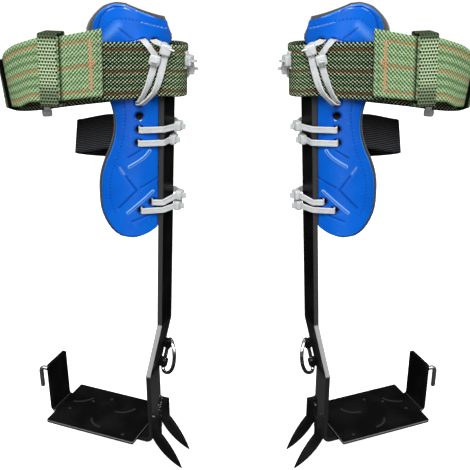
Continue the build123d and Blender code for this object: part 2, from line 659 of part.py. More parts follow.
def spike():
    """Every piece of one spike, by name, in the spike's own frame."""
    leg = leg_plane()
    pieces = {"foot_plate": shape_foot_plate(), "shank": shape_shank()}
    for name, place in gaff_places().items():
        pieces[name] = shape_gaff(*place)
    pieces["gaff_welds"] = shape_gaff_welds()
    pieces["plate_welds"] = shape_plate_welds()
    pieces["ring_lugs"] = shape_ring_lugs()
    pieces["d_ring"] = shape_d_ring()
    pieces["strap_hook"] = shape_strap_hook()
    pieces["hook_weld"] = shape_hook_weld()
    pieces["shin_shell"] = leg * pad_layer(PAD_RADIUS, LINER_OUTSIDE, LINER_RIM)
    pieces["shin_liner"] = leg * pad_layer(LINER_OUTSIDE, LINER_INSIDE, 0)
    pieces["shin_elastic"] = leg * shape_shin_elastic()
    pieces["calf_strap"] = leg * shape_calf_strap()
    pieces["strap_flap"] = leg * shape_strap_flap()
    pieces["flap_hook_patch"] = leg * shape_flap_hook_patch()
    pieces["strap_loop_patch"] = leg * shape_strap_loop_patch()
    pieces["strap_keeper"] = leg * shape_strap_keeper()
    for name, *values in zip(SHANK_TIE_NAMES, SHANK_TIE_HOLES, SHANK_TIE_SLACK, SHANK_TIE_CLIMB_DEG):
        pieces[name] = leg * shape_shank_tie(*values)
    pieces["strap_tie_inner"] = leg * shape_strap_tie_inner()
    pieces["strap_tie_outer"] = leg * shape_strap_tie_outer()
    pieces["side_tie_front"] = leg * shape_side_tie_front()
    pieces["side_tie_rear"] = leg * shape_side_tie_rear()
    pieces["rear_tie"] = leg * shape_rear_tie()
    return pieces


def main():
    """Builds both spikes, centres the pair front to back on the ground and writes every piece."""
    os.makedirs("parts", exist_ok=True)
    stand = Location((-HALF_STANCE, 0, 0), (0, 0, -TOE_OUT))
    left = {name: stand * piece for name, piece in spike().items()}
    boxes = [piece.bounding_box() for piece in left.values()]
    middle = (min(box.min.Y for box in boxes) + max(box.max.Y for box in boxes)) / 2
    print("pair moved along y by", round(-middle, 3))
    for name, piece in left.items():
        centred = Pos(0, -middle, 0) * piece
        export_step(centred, f"parts/left_{name}.step")
        export_step(mirror(centred, Plane.YZ), f"parts/right_{name}.step")


main()
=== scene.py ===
# %% [markdown]
# # A pair of tree climbing spikes
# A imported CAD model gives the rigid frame: shanks, foot plates, gaffs, rings and hooks.  This lesson dresses
# it: webbing, shin pads, cable ties and finishes are worked out with numpy, always for the left spike, and
# the right one is its mirror image.

# %% Load the frame
import math
from functools import partial

import bpy
import numpy as np
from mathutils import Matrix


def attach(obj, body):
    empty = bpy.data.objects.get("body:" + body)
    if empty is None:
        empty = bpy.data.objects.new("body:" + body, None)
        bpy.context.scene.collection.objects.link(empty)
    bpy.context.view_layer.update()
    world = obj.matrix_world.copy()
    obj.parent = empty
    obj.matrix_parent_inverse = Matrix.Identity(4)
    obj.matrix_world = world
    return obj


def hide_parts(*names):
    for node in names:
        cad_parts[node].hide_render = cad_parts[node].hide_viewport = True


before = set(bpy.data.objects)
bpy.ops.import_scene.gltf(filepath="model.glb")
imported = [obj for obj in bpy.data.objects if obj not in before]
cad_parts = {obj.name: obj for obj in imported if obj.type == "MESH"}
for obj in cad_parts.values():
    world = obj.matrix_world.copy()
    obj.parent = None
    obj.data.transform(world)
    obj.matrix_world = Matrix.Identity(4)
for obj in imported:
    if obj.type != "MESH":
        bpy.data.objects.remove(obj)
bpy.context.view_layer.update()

# %% [markdown]
# ## Camera
# The pair is seen from the front and a little above.  The lens, height and tilt were fitted to the plate's
# corners and the shank's bends, so a piece that is in its CAD place also falls on its place in the picture.

# %% Camera
LENS, SENSOR = 65.81, 36.0
PICTURE_WIDTH, PICTURE_SHIFT = 470, -3
CAMERA_PLACE = (0, -0.78654, 0.61834)
CAMERA_TILT = 24.6
camera_data = bpy.data.cameras.new("camera")
camera_data.lens = LENS
camera_data.sensor_width = SENSOR
camera_data.shift_x = PICTURE_SHIFT / PICTURE_WIDTH
camera_data.clip_end = 20
camera = bpy.data.objects.new("camera", camera_data)
bpy.context.scene.collection.objects.link(camera)
camera.location = CAMERA_PLACE
camera.rotation_euler = (math.radians(90 - CAMERA_TILT), 0, 0)
bpy.context.scene.camera = camera
print("camera tilt", CAMERA_TILT, "degrees, lens", LENS, "mm")

# %% [markdown]
# ## Colours and nodes
# Colours are written as the hex values a paint program shows and turned to the linear light that shaders
# work in.  One helper adds any node, sets its properties and wires its inputs.  Two more take up what many
# finishes share: tones that a noise mixes, and a gloss that a fine grain breaks up.

# %% Colour and node helpers
MIX_INPUTS = (0, 6, 7)


def colour(code):
    """Linear RGBA of an sRGB hex code: each channel is undone with the sRGB curve."""
    s = np.array([int(code[i:i + 2], 16) / 255 for i in (0, 2, 4)])
    return (*np.where(s <= 0.04045, s / 12.92, ((s + 0.055) / 1.055) ** 2.4), 1.0)


def wire(made, inputs):
    """Sets a node's inputs: numbers and colour codes are stored; sockets and nodes' outputs are linked."""
    for key, value in inputs.items():
        if isinstance(value, bpy.types.Node):
            value = next(out for out in value.outputs if out.enabled)
        if isinstance(value, bpy.types.NodeSocket):
            made.id_data.links.new(value, made.inputs[key])
        else:
            made.inputs[key].default_value = colour(value) if isinstance(value, str) else value


def node(tree, kind, inputs=(), **settings):
    """Adds one shader node, such as "Math ADD"; inputs are named or in order; mixes are of colours."""
    kind, *operation = kind.split()
    made = tree.nodes.new(f"ShaderNode{kind}")
    if operation:
        made.operation = operation[0]
    if kind == "Mix":
        made.data_type = "RGBA"
    for key, value in settings.items():
        setattr(made, key, value)
    if not isinstance(inputs, dict):
        inputs = dict(zip(MIX_INPUTS if kind == "Mix" else range(len(inputs)), inputs))
    wire(made, inputs)
    return made


def finish(name, **sockets):
    """A new material, the function that adds nodes to it, and its shader with plain values set."""
    made = bpy.data.materials.new(name)
    made.use_nodes = True
    shader = made.node_tree.nodes["Principled BSDF"]
    wire(shader, {key.replace("_", " "): value for key, value in sockets.items()})
    return made, partial(node, made.node_tree), shader


def mottled(name, scale, detail, deep, pale, span=(0, 1), relief=None, **sockets):
    """Two tones that a noise mixes over a span of its values; relief is the bump's strength and its mm."""
    made, add, shader = finish(name, **sockets)
    place = add("TexCoord").outputs["Object"]
    cloud = add("TexNoise", {"Vector": place, "Scale": scale, "Detail": detail})
    share = add("MapRange", [cloud, *span])
    tone = add("Mix", [share, deep, pale])
    wire(shader, {"Base Color": tone})
    if relief:
        bump = add("Bump", {"Height": cloud, "Strength": relief[0], "Distance": relief[1] / 1000})
        wire(shader, {"Normal": bump})
    return made, add, shader, place, tone


def grained(add, shader, place, scale, detail, span, polished, dull, relief=None):
    """A noise that takes the roughness from polished to dull over a span of its values, with its bump."""
    grain = add("TexNoise", {"Vector": place, "Scale": scale, "Detail": detail})
    gloss = add("MapRange", [grain, *span, polished, dull])
    wire(shader, {"Roughness": gloss})
    if relief:
        bump = add("Bump", {"Height": grain, "Strength": relief[0], "Distance": relief[1] / 1000})
        wire(shader, {"Normal": bump})


def by_height(add, place, tone, layers):
    """Tones stacked by height: each layer (start and rise in mm, tone) takes over from what lies below it."""
    split = add("SeparateXYZ", [place])
    for start, rise, upper in layers:
        share = add("MapRange", [split.outputs[2], start / 1000, (start + rise) / 1000])
        tone = add("Mix", [share, tone, upper])
    return tone


print("mid grey #808080 in linear light:", np.round(colour("808080")[:3], 4))

# %% [markdown]
# ## The leg's frame
# The pad, the straps and the ties belong to the leg, so they are drawn in its frame: p across, q back from
# the pad's front, and h up the bar from its top, in millimetres.

# %% Leg frame
LEG_ORIGIN = np.array([-68.137, -42.093, 455.867])
LEG_AXES = np.array([
    [0.998894, 0.000440, -0.047008],
    [0.000440, 0.999825, 0.018707],
    [0.047008, -0.018707, 0.998719],
])


def from_leg(points):
    """Leg millimetres to world metres: the origin plus p, q and h times their axes."""
    return (LEG_ORIGIN + points @ LEG_AXES) / 1000


print("bar's top corner in the world:", np.round(from_leg(np.zeros(3)), 4))

# %% [markdown]
# ## From grids to meshes
# Every new piece is a grid of points.  Neighbours on the grid become quads, rows or columns can close on
# themselves, and open ends get a flat cap.  The right-hand piece is the mirror image with every face turned
# round.


# %% Mesh helpers
def skin(grid, uv=None, loop_rows=False, loop_columns=False, caps=False):
    """Quads between neighbouring grid points, as (points, faces, uv of each face corner)."""
    rows, columns = grid.shape[:2]
    i = np.arange(rows if loop_rows else rows - 1)[:, None]
    j = np.arange(columns if loop_columns else columns - 1)[None, :]
    corners = [(i, j), (i + 1, j), (i + 1, j + 1), (i, j + 1)]
    faces = np.stack([(a % rows) * columns + b % columns for a, b in corners], -1).reshape(-1, 4).tolist()
    if uv is None:
        uv = np.zeros((rows + 1, columns + 1, 2))
    marks = np.stack([uv[a, b] for a, b in corners], 2).reshape(-1, 2)
    if caps:
        ring = np.arange(columns)
        faces += [ring.tolist(), (ring[::-1] + (rows - 1) * columns).tolist()]
        marks = np.concatenate([marks, uv[0, ring], uv[rows - 1, ring[::-1]]])
    return grid.reshape(-1, 3), faces, marks


def joined(surfaces):
    """Several surfaces as one."""
    starts = np.cumsum([0] + [len(points) for points, _, _ in surfaces])
    faces = [[k + start for k in face] for (_, part, _), start in zip(surfaces, starts) for face in part]
    return np.concatenate([s[0] for s in surfaces]), faces, np.concatenate([s[2] for s in surfaces])


def pair(name, surface, cover, stands_for=(), body="spike", values=None):
    """The left piece, and the right one as its mirror image; values are named numbers kept on the points."""
    points, faces, marks = surface
    world = from_leg(points)
    ends = np.cumsum([len(face) for face in faces])
    turned = np.concatenate([np.arange(end - len(face), end)[::-1] for face, end in zip(faces, ends)])
    made = []
    for side, sign, corners in (("left", 1, slice(None)), ("right", -1, turned)):
        mesh = bpy.data.meshes.new(f"{side}_{name}")
        mesh.from_pydata((world * (sign, 1, 1)).tolist(), [], [face[::sign] for face in faces])
        layer = mesh.uv_layers.new(name="length_and_width")
        layer.data.foreach_set("uv", marks[corners].astype(np.float32).ravel())
        for key, numbers in (values or {}).items():
            kept = mesh.attributes.new(key, "FLOAT", "POINT")
            kept.data.foreach_set("value", numbers.astype(np.float32).ravel())
        mesh.shade_smooth()
        mesh.materials.append(cover)
        piece = bpy.data.objects.new(f"{side}_{name}", mesh)
        bpy.context.scene.collection.objects.link(piece)
        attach(piece, f"{side}_{body}")
        if stands_for:
            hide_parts(*[f"{side}_{each}" for each in stands_for])
        made.append(piece)
    print(name, "has", len(faces), "faces")
    return made


print("a grid of 3 x 4 points has", len(skin(np.zeros((3, 4, 3)))[1]), "quads")

# %% [markdown]
# ## Studio
# The ground is a white sweep lit from inside, like a light table, so shadows almost vanish: flat in the
# middle, and rising all round, so every view has the same plain ground.  It shows to the camera only,
# because the steel would mirror it and turn grey.  The sky is bright behind the viewer and dark beyond the
# pair, so black paint stays black, and the soft lamps are the same on both sides, because the spikes are lit
# alike.

# %% Floor, sky and lamps
SWEEP_REACH, SWEEP_HEIGHT, SWEEP_CURVE = 8.0, 5.0, 2.5
SKY_FRONT, SKY_BACK = 0.42, 0.05
SKY_SPAN = (-0.7, 0.4)
AIM = (0, 0, 0.3)
bpy.context.scene.view_settings.view_transform = "Standard"
spread = np.linspace(0, 1, 41)[:, None]
round_about = np.linspace(0, 2 * math.pi, 72, endpoint=False)[None, :]
sweep_rise = SWEEP_HEIGHT * np.clip(2 * spread - 1, 0, 1) ** SWEEP_CURVE * np.ones_like(round_about)
sweep_grid = np.stack([SWEEP_REACH * spread * np.cos(round_about), SWEEP_REACH * spread * np.sin(round_about),
                       sweep_rise], -1)
sweep_points, sweep_faces, _ = skin(sweep_grid, loop_columns=True)
floor_mesh = bpy.data.meshes.new("floor")
floor_mesh.from_pydata(sweep_points.tolist(), [], sweep_faces)
floor_mesh.shade_smooth()
floor = bpy.data.objects.new("floor", floor_mesh)
bpy.context.scene.collection.objects.link(floor)
floor_mesh.materials.append(finish("white sweep", Base_Color=(0.8, 0.8, 0.8, 1), Roughness=0.9,
                                   Emission_Color=(1, 1, 1, 1), Emission_Strength=0.9)[0])
floor.visible_glossy = False
floor.visible_diffuse = False
floor.visible_shadow = False

sky = bpy.data.worlds.new("studio sky")
bpy.context.scene.world = sky
sky.use_nodes = True
sky_way = node(sky.node_tree, "TexCoord").outputs["Generated"]
sky_split = node(sky.node_tree, "SeparateXYZ", [sky_way])
sky_level = node(sky.node_tree, "MapRange", [sky_split.outputs[1], *SKY_SPAN, SKY_FRONT, SKY_BACK])
wire(sky.node_tree.nodes["Background"], {"Strength": sky_level})


def lamp(name, place, aim, size, power):
    """A square area lamp that faces a point."""
    data = bpy.data.lights.new(name, "AREA")
    data.size = size
    data.energy = power
    made = bpy.data.objects.new(name, data)
    bpy.context.scene.collection.objects.link(made)
    made.location = place
    turn = np.array(aim) - np.array(place)
    level = math.hypot(turn[0], turn[1])
    made.rotation_euler = (math.atan2(level, -turn[2]), 0, math.atan2(-turn[0], turn[1]))
    return made


lamp("key", (0, -1.6, 1.9), AIM, 0.9, 60)
lamp("low fill", (0, -1.5, 0.15), (0, 0, 0.35), 0.9, 7).visible_glossy = False
for side in (-1, 1):
    lamp("side", (side * 1.5, -0.7, 1.1), AIM, 0.7, 10)
    lamp("back", (side * 0.9, 0.9, 2.8), AIM, 0.9, 8)
    lamp("low back", (side * 1.0, 1.5, 0.55), AIM, 0.9, 9).visible_glossy = False
print("studio: light-table sweep, one-sided sky and eight soft lamps")

# %% [markdown]
# ## Curves
# A route is a short list of stations.  A Catmull-Rom curve goes smoothly through all of them, and the
# distance along it is what a woven pattern has to follow.


# %% Curve helpers
def smooth(points, steps, closed=False):
    """A Catmull-Rom curve: each span is a cubic whose end slopes are half the step between the neighbours."""
    p = np.asarray(points, float)
    ends = (p[-1:], p[:2]) if closed else (p[:1], p[-1:])
    p = np.concatenate([ends[0], p, ends[1]])
    t = np.linspace(0, 1, steps, endpoint=False)[None, :, None]
    a, b, c, d = (p[k:len(p) - 3 + k, None] for k in range(4))
    spans = (b + (c - a) * t / 2 + (2 * a - 5 * b + 4 * c - d) * t ** 2 / 2
             + (3 * b - a - 3 * c + d) * t ** 3 / 2)
    curve = spans.reshape(-1, p.shape[1])
    return curve if closed else np.concatenate([curve, p[-2:-1]])


def unit(vectors):
    """Each vector divided by its length."""
    return vectors / np.linalg.norm(vectors, axis=-1, keepdims=True)


def run_length(points):
    """The distance along a line of points from its start."""
    return np.concatenate([[0], np.cumsum(np.linalg.norm(np.diff(points, axis=0), axis=1))])


def at_lengths(line, lengths):
    """The points of a flat line at these distances from its start."""
    along = run_length(line)
    return np.stack([np.interp(lengths, along, line[:, k]) for k in (0, 1)], -1)


step_up = smooth([(0, 0), (1, 0), (2, 1), (3, 1)], 20)
print("a smooth line over a unit step is", round(run_length(step_up)[-1], 3), "long")

# %% [markdown]
# ## Webbing strips
# Webbing is a flat woven strip with rounded selvedges.  Its section is two straight faces joined by half
# circles.  The section stands upright and is carried along the route, always square to the way it runs.

# %% Strip shape
STRAP_WIDTH = 52.0
FLAT_POINTS, ROUND_POINTS = 27, 5
RIPPLE_SHORT, RIPPLE_LONG = 9.0, 23.0


def strip_section(flat_points=FLAT_POINTS, round_points=ROUND_POINTS):
    """The section's three parts: where on the straight face, and the cosine and sine of its round edges."""
    flat = np.linspace(-1, 1, flat_points)
    turn = np.radians(np.linspace(90, -90, round_points + 2)[1:-1])
    ones, zeros = np.ones(round_points), np.zeros(flat_points)
    return (np.concatenate([flat, ones, flat[::-1], -ones]),
            np.concatenate([zeros, np.cos(turn), zeros, -np.cos(turn)]),
            np.concatenate([zeros + 1, np.sin(turn), zeros - 1, -np.sin(turn)]))


def strip(route, thickness, steps=10, ripple=0.0, lean=((0,), (0,))):
    """The section carried along (p, q, h, width) stations: place + up * breadth + outward * depth.

    The ripple is a short wave times a long one along the strip, and it grows towards the upper edge.
    The lean, given at some stations, moves points along p by how far they lie below the middle."""
    line = smooth(route, steps)
    heading = unit(np.gradient(line[:, :2], axis=0))
    outward = np.stack([heading[:, 1], -heading[:, 0]], -1)
    flat, cosine, sine = strip_section()
    r = thickness / 2
    along = run_length(line[:, :3])
    across = flat * (line[:, 3:] / 2 - r) + r * cosine
    share = across / line[:, 3:] + 0.5
    short_wave = np.sin(along[:, None] / RIPPLE_SHORT + 5 * share)
    long_wave = np.sin(along[:, None] / RIPPLE_LONG + 1)
    depth = r * sine + ripple * short_wave * long_wave * (0.35 + share)
    grid = np.stack([line[:, :1] + outward[:, :1] * depth, line[:, 1:2] + outward[:, 1:] * depth,
                     line[:, 2:3] + across], -1)
    station = np.linspace(0, len(route) - 1, len(line))[:, None]
    grid[..., 0] += np.interp(station, *lean) * (grid[..., 2].mean(1, keepdims=True) - grid[..., 2])
    uv = np.stack([np.broadcast_to(along[:, None], share.shape), share * STRAP_WIDTH], -1)
    return grid, np.concatenate([uv, uv[:, :1]], 1)


print("strip section has", len(strip_section()[0]), "points")

# %% [markdown]
# ## Green webbing finish
# Polyester webbing in a basket weave: pale yarn loops stand over a dark ground in slanting rows, and three
# orange yarns run along it.  Two slanting waves, one stronger, make the loops.  A slower wave across the
# width makes rows: beige and tight, then green and open.  Where the webbing has been worn flat the loops
# spread and hide the ground, and the rows show as soft ribs.

# %% Green webbing finish
YARN_ALONG, YARN_ACROSS = 3.47, 3.3
SLOPES = ((1, 0.38), (-1, 0.62))
RIB_ACROSS = 6.7
LINE_SHARES = (0.87, 0.5, 0.11)
LINE_HALF = 1.15


def wave(add, length, pitch, kind="COSINE"):
    """The cosine or sine of 2 pi times a length over a pitch."""
    angle = add("Math MULTIPLY", [length, 2 * math.pi / pitch])
    return add(f"Math {kind}", [angle])


def webbing_finish(name, loops, ground, orange, worn_loops, worn_ground, worn_orange):
    """Waves on the (length, width) map in mm: 0.62 cos(u - v) + 0.38 cos(u + v) is high on the weave's loops.

    loops and ground are pairs of tones, for the rows where the slower wave is low and where it is high."""
    made, add, shader = finish(name, Roughness=0.85, Specular_IOR_Level=0.08)
    place = add("UVMap", uv_map="length_and_width")
    across = add("SeparateXYZ", [place]).outputs[1]
    stir = add("TexNoise", {"Vector": place, "Scale": 0.22, "Detail": 2.0})
    waves = []
    for slope, share in SLOPES:
        turns = (2 * math.pi / YARN_ALONG, slope * 2 * math.pi / YARN_ACROSS, 0)
        angle = add("VectorMath DOT_PRODUCT", [place, turns])
        angle = add("Math MULTIPLY_ADD", [stir, 2.0, angle.outputs["Value"]])
        slanted = add("Math COSINE", [angle])
        waves.append(add("Math MULTIPLY", [slanted, share]))
    weave = add("Math ADD", [waves[0], waves[1]])
    worn, lined, painted_shade = (add("Attribute", attribute_name=each).outputs["Fac"]
                           for each in ("worn", "lined", "painted_shade"))
    spots = add("TexNoise", {"Vector": place, "Scale": 0.9, "Detail": 3.0})
    uneven = add("Math MULTIPLY_ADD", [spots, 1.1, -0.55])
    flat_loops = add("Math MULTIPLY_ADD", [worn, 0.5, uneven])
    rib = wave(add, across, RIB_ACROSS)
    rows = add("MapRange", [rib, -0.6, 0.6])
    height = add("Math ADD", [weave, flat_loops])
    height = add("Math MULTIPLY_ADD", [rib, -0.1, height])
    loop = add("MapRange", [height, 0.13, 0.64], interpolation_type="SMOOTHSTEP")
    rib_shade = add("MapRange", [rib, -0.4, 1.0, 0.0, 0.6])
    flattened = add("MapRange", [worn, 0.8, 0.95])
    rib_share = add("Math MULTIPLY", [rib_shade, flattened])
    loop_tone, ground_tone = (add("Mix", [rows, *tones]) for tones in (loops, ground))
    pale_yarn = add("Mix", [worn, loop_tone, worn_loops])
    deep_yarn = add("Mix", [worn, ground_tone, worn_ground])
    pale_yarn = add("Mix", [rib_share, pale_yarn, deep_yarn])
    line_yarn = add("Mix", [worn, orange, worn_orange])
    mixed = add("Mix", [loop, deep_yarn, pale_yarn])
    thread = add("MapRange", [loop, 0.0, 0.7, 0.15, 0.88])
    thread = add("Math MULTIPLY", [thread, lined])
    for share in LINE_SHARES:
        away = add("Math SUBTRACT", [across, share * STRAP_WIDTH])
        away = add("Math ABSOLUTE", [away])
        band = add("MapRange", [away, LINE_HALF * 1.6, LINE_HALF * 0.6])
        shown = add("Math MULTIPLY", [band, thread])
        mixed = add("Mix", [shown, mixed, line_yarn])
    # painted shade: the weave turns near black in the strap's fold, on the rear layer's inner face and at the
    # flap's root
    shaded = add("Mix", [painted_shade, mixed, "020302"])
    bump = add("Bump", {"Height": height, "Strength": 0.5, "Distance": 0.0008})
    wire(shader, {"Base Color": shaded, "Normal": bump})
    return made


webbing = webbing_finish("woven polyester webbing", ("abb596", "85a87b"), ("070805", "0a1c0d"), "7c4a2e",
                         "9ab688", "4a6441", "b98d64")
print("webbing loops every", YARN_ALONG, "mm along and", YARN_ACROSS, "mm across")

# %% [markdown]
# ## Calf strap
# The strap starts under the flap, crosses the pad, folds round the bar, goes behind the calf and comes back
# to the flap's root.  At the far left it is pinched into a fold that leans, so its lower end lies further
# in.

# %% Calf strap
WEB = 2.4
FOLD_LEAN = ((14, 17, 21, 23), (0, 0.145, 0.145, 0))
STRAP_ROUTE = [
    (-104, -15.4, -20, 50), (-90, -15.4, -19.8, 51), (-66, -15.4, -19.5, 51.5), (-48, -15.4, -19, 51.5),
    (-36, -14.6, -18.5, 51), (-22, -12.4, -18, 50), (2, -9.4, -17, 47), (17, -5, -18.5, 46),
    (23.2, 6, -20, 46), (20, 19, -21.5, 47), (8, 30, -25, 50), (-20, 44, -33, 53), (-53, 52, -40, 54),
    (-90, 53, -46, 54.5), (-119, 46, -49.5, 54), (-136, 33, -48.5, 50), (-141.8, 18, -43.5, 45),
    (-138.8, 10, -42, 44.4), (-132, 5.5, -40.4, 44.8), (-130, 1.5, -39, 44.6), (-132, -3, -36.2, 44.4),
    (-128.4, -8.5, -32, 48.8), (-121, -14, -27.2, 54), (-110, -19.5, -21.2, 53.7), (-99, -21.1, -18.6, 55.8),
    (-83.4, -21.1, -17, 55.5),
]
strap_grid, strap_uv = strip(STRAP_ROUTE, WEB, ripple=0.25, lean=FOLD_LEAN)
station = np.linspace(0, len(STRAP_ROUTE) - 1, len(strap_grid))[:, None] * np.ones(strap_grid.shape[1])
strap_worn = np.interp(station, [0, 6, 6.6, 9, 10, 14.5, 16, 20, 25], [0, 0, 0.15, 0.15, 0, 0, 0.8, 0.95, 1])
strap_inside = np.broadcast_to(strip_section()[2] < 0.5, station.shape)
# painted shade: near black in the fold's slot, and half as dark on the rear layer's inner face behind the pad
strap_painted_shade = np.maximum(np.interp(station, [16.5, 17.1, 19.7, 20.3], [0, 1, 1, 0]),
                          0.5 * strap_inside * np.interp(station, [8, 10, 16, 17], [0, 1, 1, 0]))
strap_values = {"worn": strap_worn, "painted_shade": strap_painted_shade, "lined": np.ones_like(station)}
pair("calf_strap_webbing", skin(strap_grid, strap_uv, loop_columns=True, caps=True), webbing,
     ["calf_strap"], values=strap_values)
print("strap is", round(strap_uv[-1, 0, 0]), "mm long")

# %% [markdown]
# ## Flap
# The strap's free end is a second length of the same webbing.  It peels open, so it rides on its own body,
# and its end rises a little to the right.

# %% Flap
FLAP_DEPTH = -21.22
FLAP_ROUTE = [(-82.9, FLAP_DEPTH, -17, 55.5), (-72, FLAP_DEPTH, -14.9, 56.4), (-60, FLAP_DEPTH, -12.6, 57.4),
              (-46.4, FLAP_DEPTH, -10, 58.5)]
flap_grid, flap_uv = strip(FLAP_ROUTE, WEB, steps=14, ripple=0.12)
flap_share = np.linspace(0, 1, len(flap_grid))[:, None] * np.ones(flap_grid.shape[1])
# the flap's root beside the keeper gets painted shade
flap_values = {"worn": np.interp(flap_share, [0.84, 0.88, 0.92, 0.95, 1], [0.8, 0.5, 0.8, 0.75, 0.2]),
               "painted_shade": np.interp(flap_share, [0, 0.05, 0.12], [0.95, 0.7, 0]),
               "lined": np.interp(flap_share, [0.72, 0.74], [1, 0])}
pair("flap_webbing", skin(flap_grid, flap_uv, loop_columns=True, caps=True), webbing,
     ["strap_flap"], "strap_flap", flap_values)

# %% [markdown]
# ## Stitching on the flap
# Orange thread closes the flap's box of stitches: a zigzag runs up from the lower line to the upper one, and
# a knot sits where the seam was ended.  Thread is a round tube; the zigzag is a triangle wave and the knot a
# flat trefoil.


# %% Stitching
def tube(line, radius, sides=6, closed=False):
    """A circle carried along a line that lies on cloth facing -q: sideways is the heading crossed with -q."""
    heading = unit(np.roll(line, -1, 0) - np.roll(line, 1, 0) if closed else np.gradient(line, axis=0))
    sideways = unit(np.cross(heading, (0, -1, 0)))
    outward = np.cross(sideways, heading)
    turn = np.linspace(0, 2 * math.pi, sides, endpoint=False)
    grid = line[:, None] + radius * (sideways[:, None] * np.cos(turn)[None, :, None]
                                     + outward[:, None] * np.sin(turn)[None, :, None])
    return skin(grid, loop_rows=closed, loop_columns=True, caps=not closed)


def on_flap(p, share, lift):
    """A place on the flap's front: across, its share of the width, and how far it stands off the webbing."""
    root, end = FLAP_ROUTE[0], FLAP_ROUTE[-1]
    run = (p - root[0]) / (end[0] - root[0])
    middle, width = (root[k] + run * (end[k] - root[k]) for k in (2, 3))
    return np.stack([p, np.full_like(p, FLAP_DEPTH - WEB / 2 - lift), middle + (share - 0.5) * width], -1)


SEAM_AT, SEAM_HALF, ZIGS, SEAM_LIFT = -56.2, 1.7, 18, 0.15
THREAD = 0.45
KNOT_AT, KNOT_WIDE, KNOT_SHARE, KNOT_TALL, KNOT_LIFT = SEAM_AT + 1.1, 0.9, 0.52, 0.016, 0.6
run = np.linspace(0, 1, ZIGS * 8)
zigzag = 2 / math.pi * np.arcsin(np.sin(2 * math.pi * ZIGS * run))
seam_share = LINE_SHARES[2] + run * (LINE_SHARES[0] - LINE_SHARES[2])
seam_line = on_flap(SEAM_AT + SEAM_HALF * zigzag, seam_share, SEAM_LIFT)
turn = np.linspace(0, 2 * math.pi, 90, endpoint=False)
knot_line = on_flap(KNOT_AT + KNOT_WIDE * (np.sin(turn) + 2 * np.sin(2 * turn)),
                    KNOT_SHARE + KNOT_TALL * (np.cos(turn) - 2 * np.cos(2 * turn)),
                    KNOT_LIFT + THREAD * np.sin(3 * turn))
thread_finish = mottled("orange sewing thread", 900.0, 2.0, "9a6a45", "d3a47a",
                        Roughness=0.8, Sheen_Weight=0.2)[0]
pair("flap_stitching", joined([tube(seam_line, THREAD), tube(knot_line, 1.3 * THREAD, closed=True)]),
     thread_finish, body="strap_flap")

# %% [markdown]
# ## Loops round a core
# The keeper and the cable ties all go round something.  Their line is the core's outline moved outwards:
# straight along each side, and an arc round each corner.


# %% Loop helper
def loop_round(corners, away, count):
    """An outline moved outwards: corners become arcs of radius away; points are spread evenly along it."""
    c = np.asarray(corners, float)
    sides = unit(np.roll(c, -1, 0) - c)
    out = np.stack([sides[:, 1], -sides[:, 0]], -1)
    first = np.arctan2(*np.roll(out, 1, 0).T[::-1])
    turn = (np.arctan2(*out.T[::-1]) - first) % (2 * math.pi)
    angle = first[:, None] + turn[:, None] * np.linspace(0, 1, 9)[None, :]
    line = (c[:, None] + away * np.stack([np.cos(angle), np.sin(angle)], -1)).reshape(-1, 2)
    line = np.concatenate([line, line[:1]])
    whole = run_length(line)[-1]
    return at_lengths(line, np.linspace(0, whole, count, endpoint=False)), whole


def loop_outward(loop):
    """The unit vectors that point out of a closed flat loop: its heading turned by a quarter."""
    way = unit(np.roll(loop, -1, 0) - np.roll(loop, 1, 0))
    return np.stack([way[:, 1], -way[:, 0]], -1)


way_round = loop_round([(0, 0), (1, 0), (1, 1), (0, 1)], 0.5, 200)[1]
print("a unit square's outline moved out by a half is", round(way_round, 3), "long")

# %% [markdown]
# ## Keeper
# A narrow loop of webbing holds the two layers together.  It can slide a little along the strap, and it has
# slipped askew, so its back lies further in than its front.  Its weave is rows of bars with dark dots
# between them, shifted by half a dot from row to row, and painted shade darkens its ends.

# %% Keeper
KEEPER_WEB, KEEPER_WIDTH = 1.8, 15.5
KEEPER_MIDDLE = -91.95
KEEPER_FRONT, KEEPER_BACK = -23.2, -13.3
KEEPER_LOW, KEEPER_HIGH = -48.75, 12.0
KEEPER_SKEW = 0.45
KEEPER_STEPS = 150
BAR_ALONG, DOT_ACROSS = 2.9, 2.5
keeper_core = [(KEEPER_FRONT, KEEPER_LOW), (KEEPER_BACK, KEEPER_LOW), (KEEPER_BACK, KEEPER_HIGH),
               (KEEPER_FRONT, KEEPER_HIGH)]
keeper_line, keeper_run = loop_round(keeper_core, KEEPER_WEB / 2, KEEPER_STEPS)
keeper_out = loop_outward(keeper_line)
flat, cosine, sine = strip_section(15, 4)
keeper_across = flat * (KEEPER_WIDTH - KEEPER_WEB) / 2 + KEEPER_WEB / 2 * cosine
keeper_depth = keeper_line[:, None] + keeper_out[:, None] * (KEEPER_WEB / 2 * sine)[None, :, None]
keeper_p = np.broadcast_to(KEEPER_MIDDLE + keeper_across[None, :, None], (KEEPER_STEPS, len(flat), 1))
keeper_grid = np.concatenate([keeper_p, keeper_depth], -1)
keeper_grid = keeper_grid + (keeper_grid[..., 1:2] - KEEPER_FRONT) * (KEEPER_SKEW, 0, 0)
keeper_uv = np.stack(np.meshgrid(np.linspace(0, keeper_run, KEEPER_STEPS + 1),
                                 np.append(keeper_across, keeper_across[:1]), indexing="ij"), -1)
# painted shade at the keeper's ends, where it turns over the strap's edges
keeper_painted_end_shade = np.interp(keeper_grid[..., 2], [-49, -36, -28, 7, 11], [0.75, 0.55, 0, 0, 0.85])


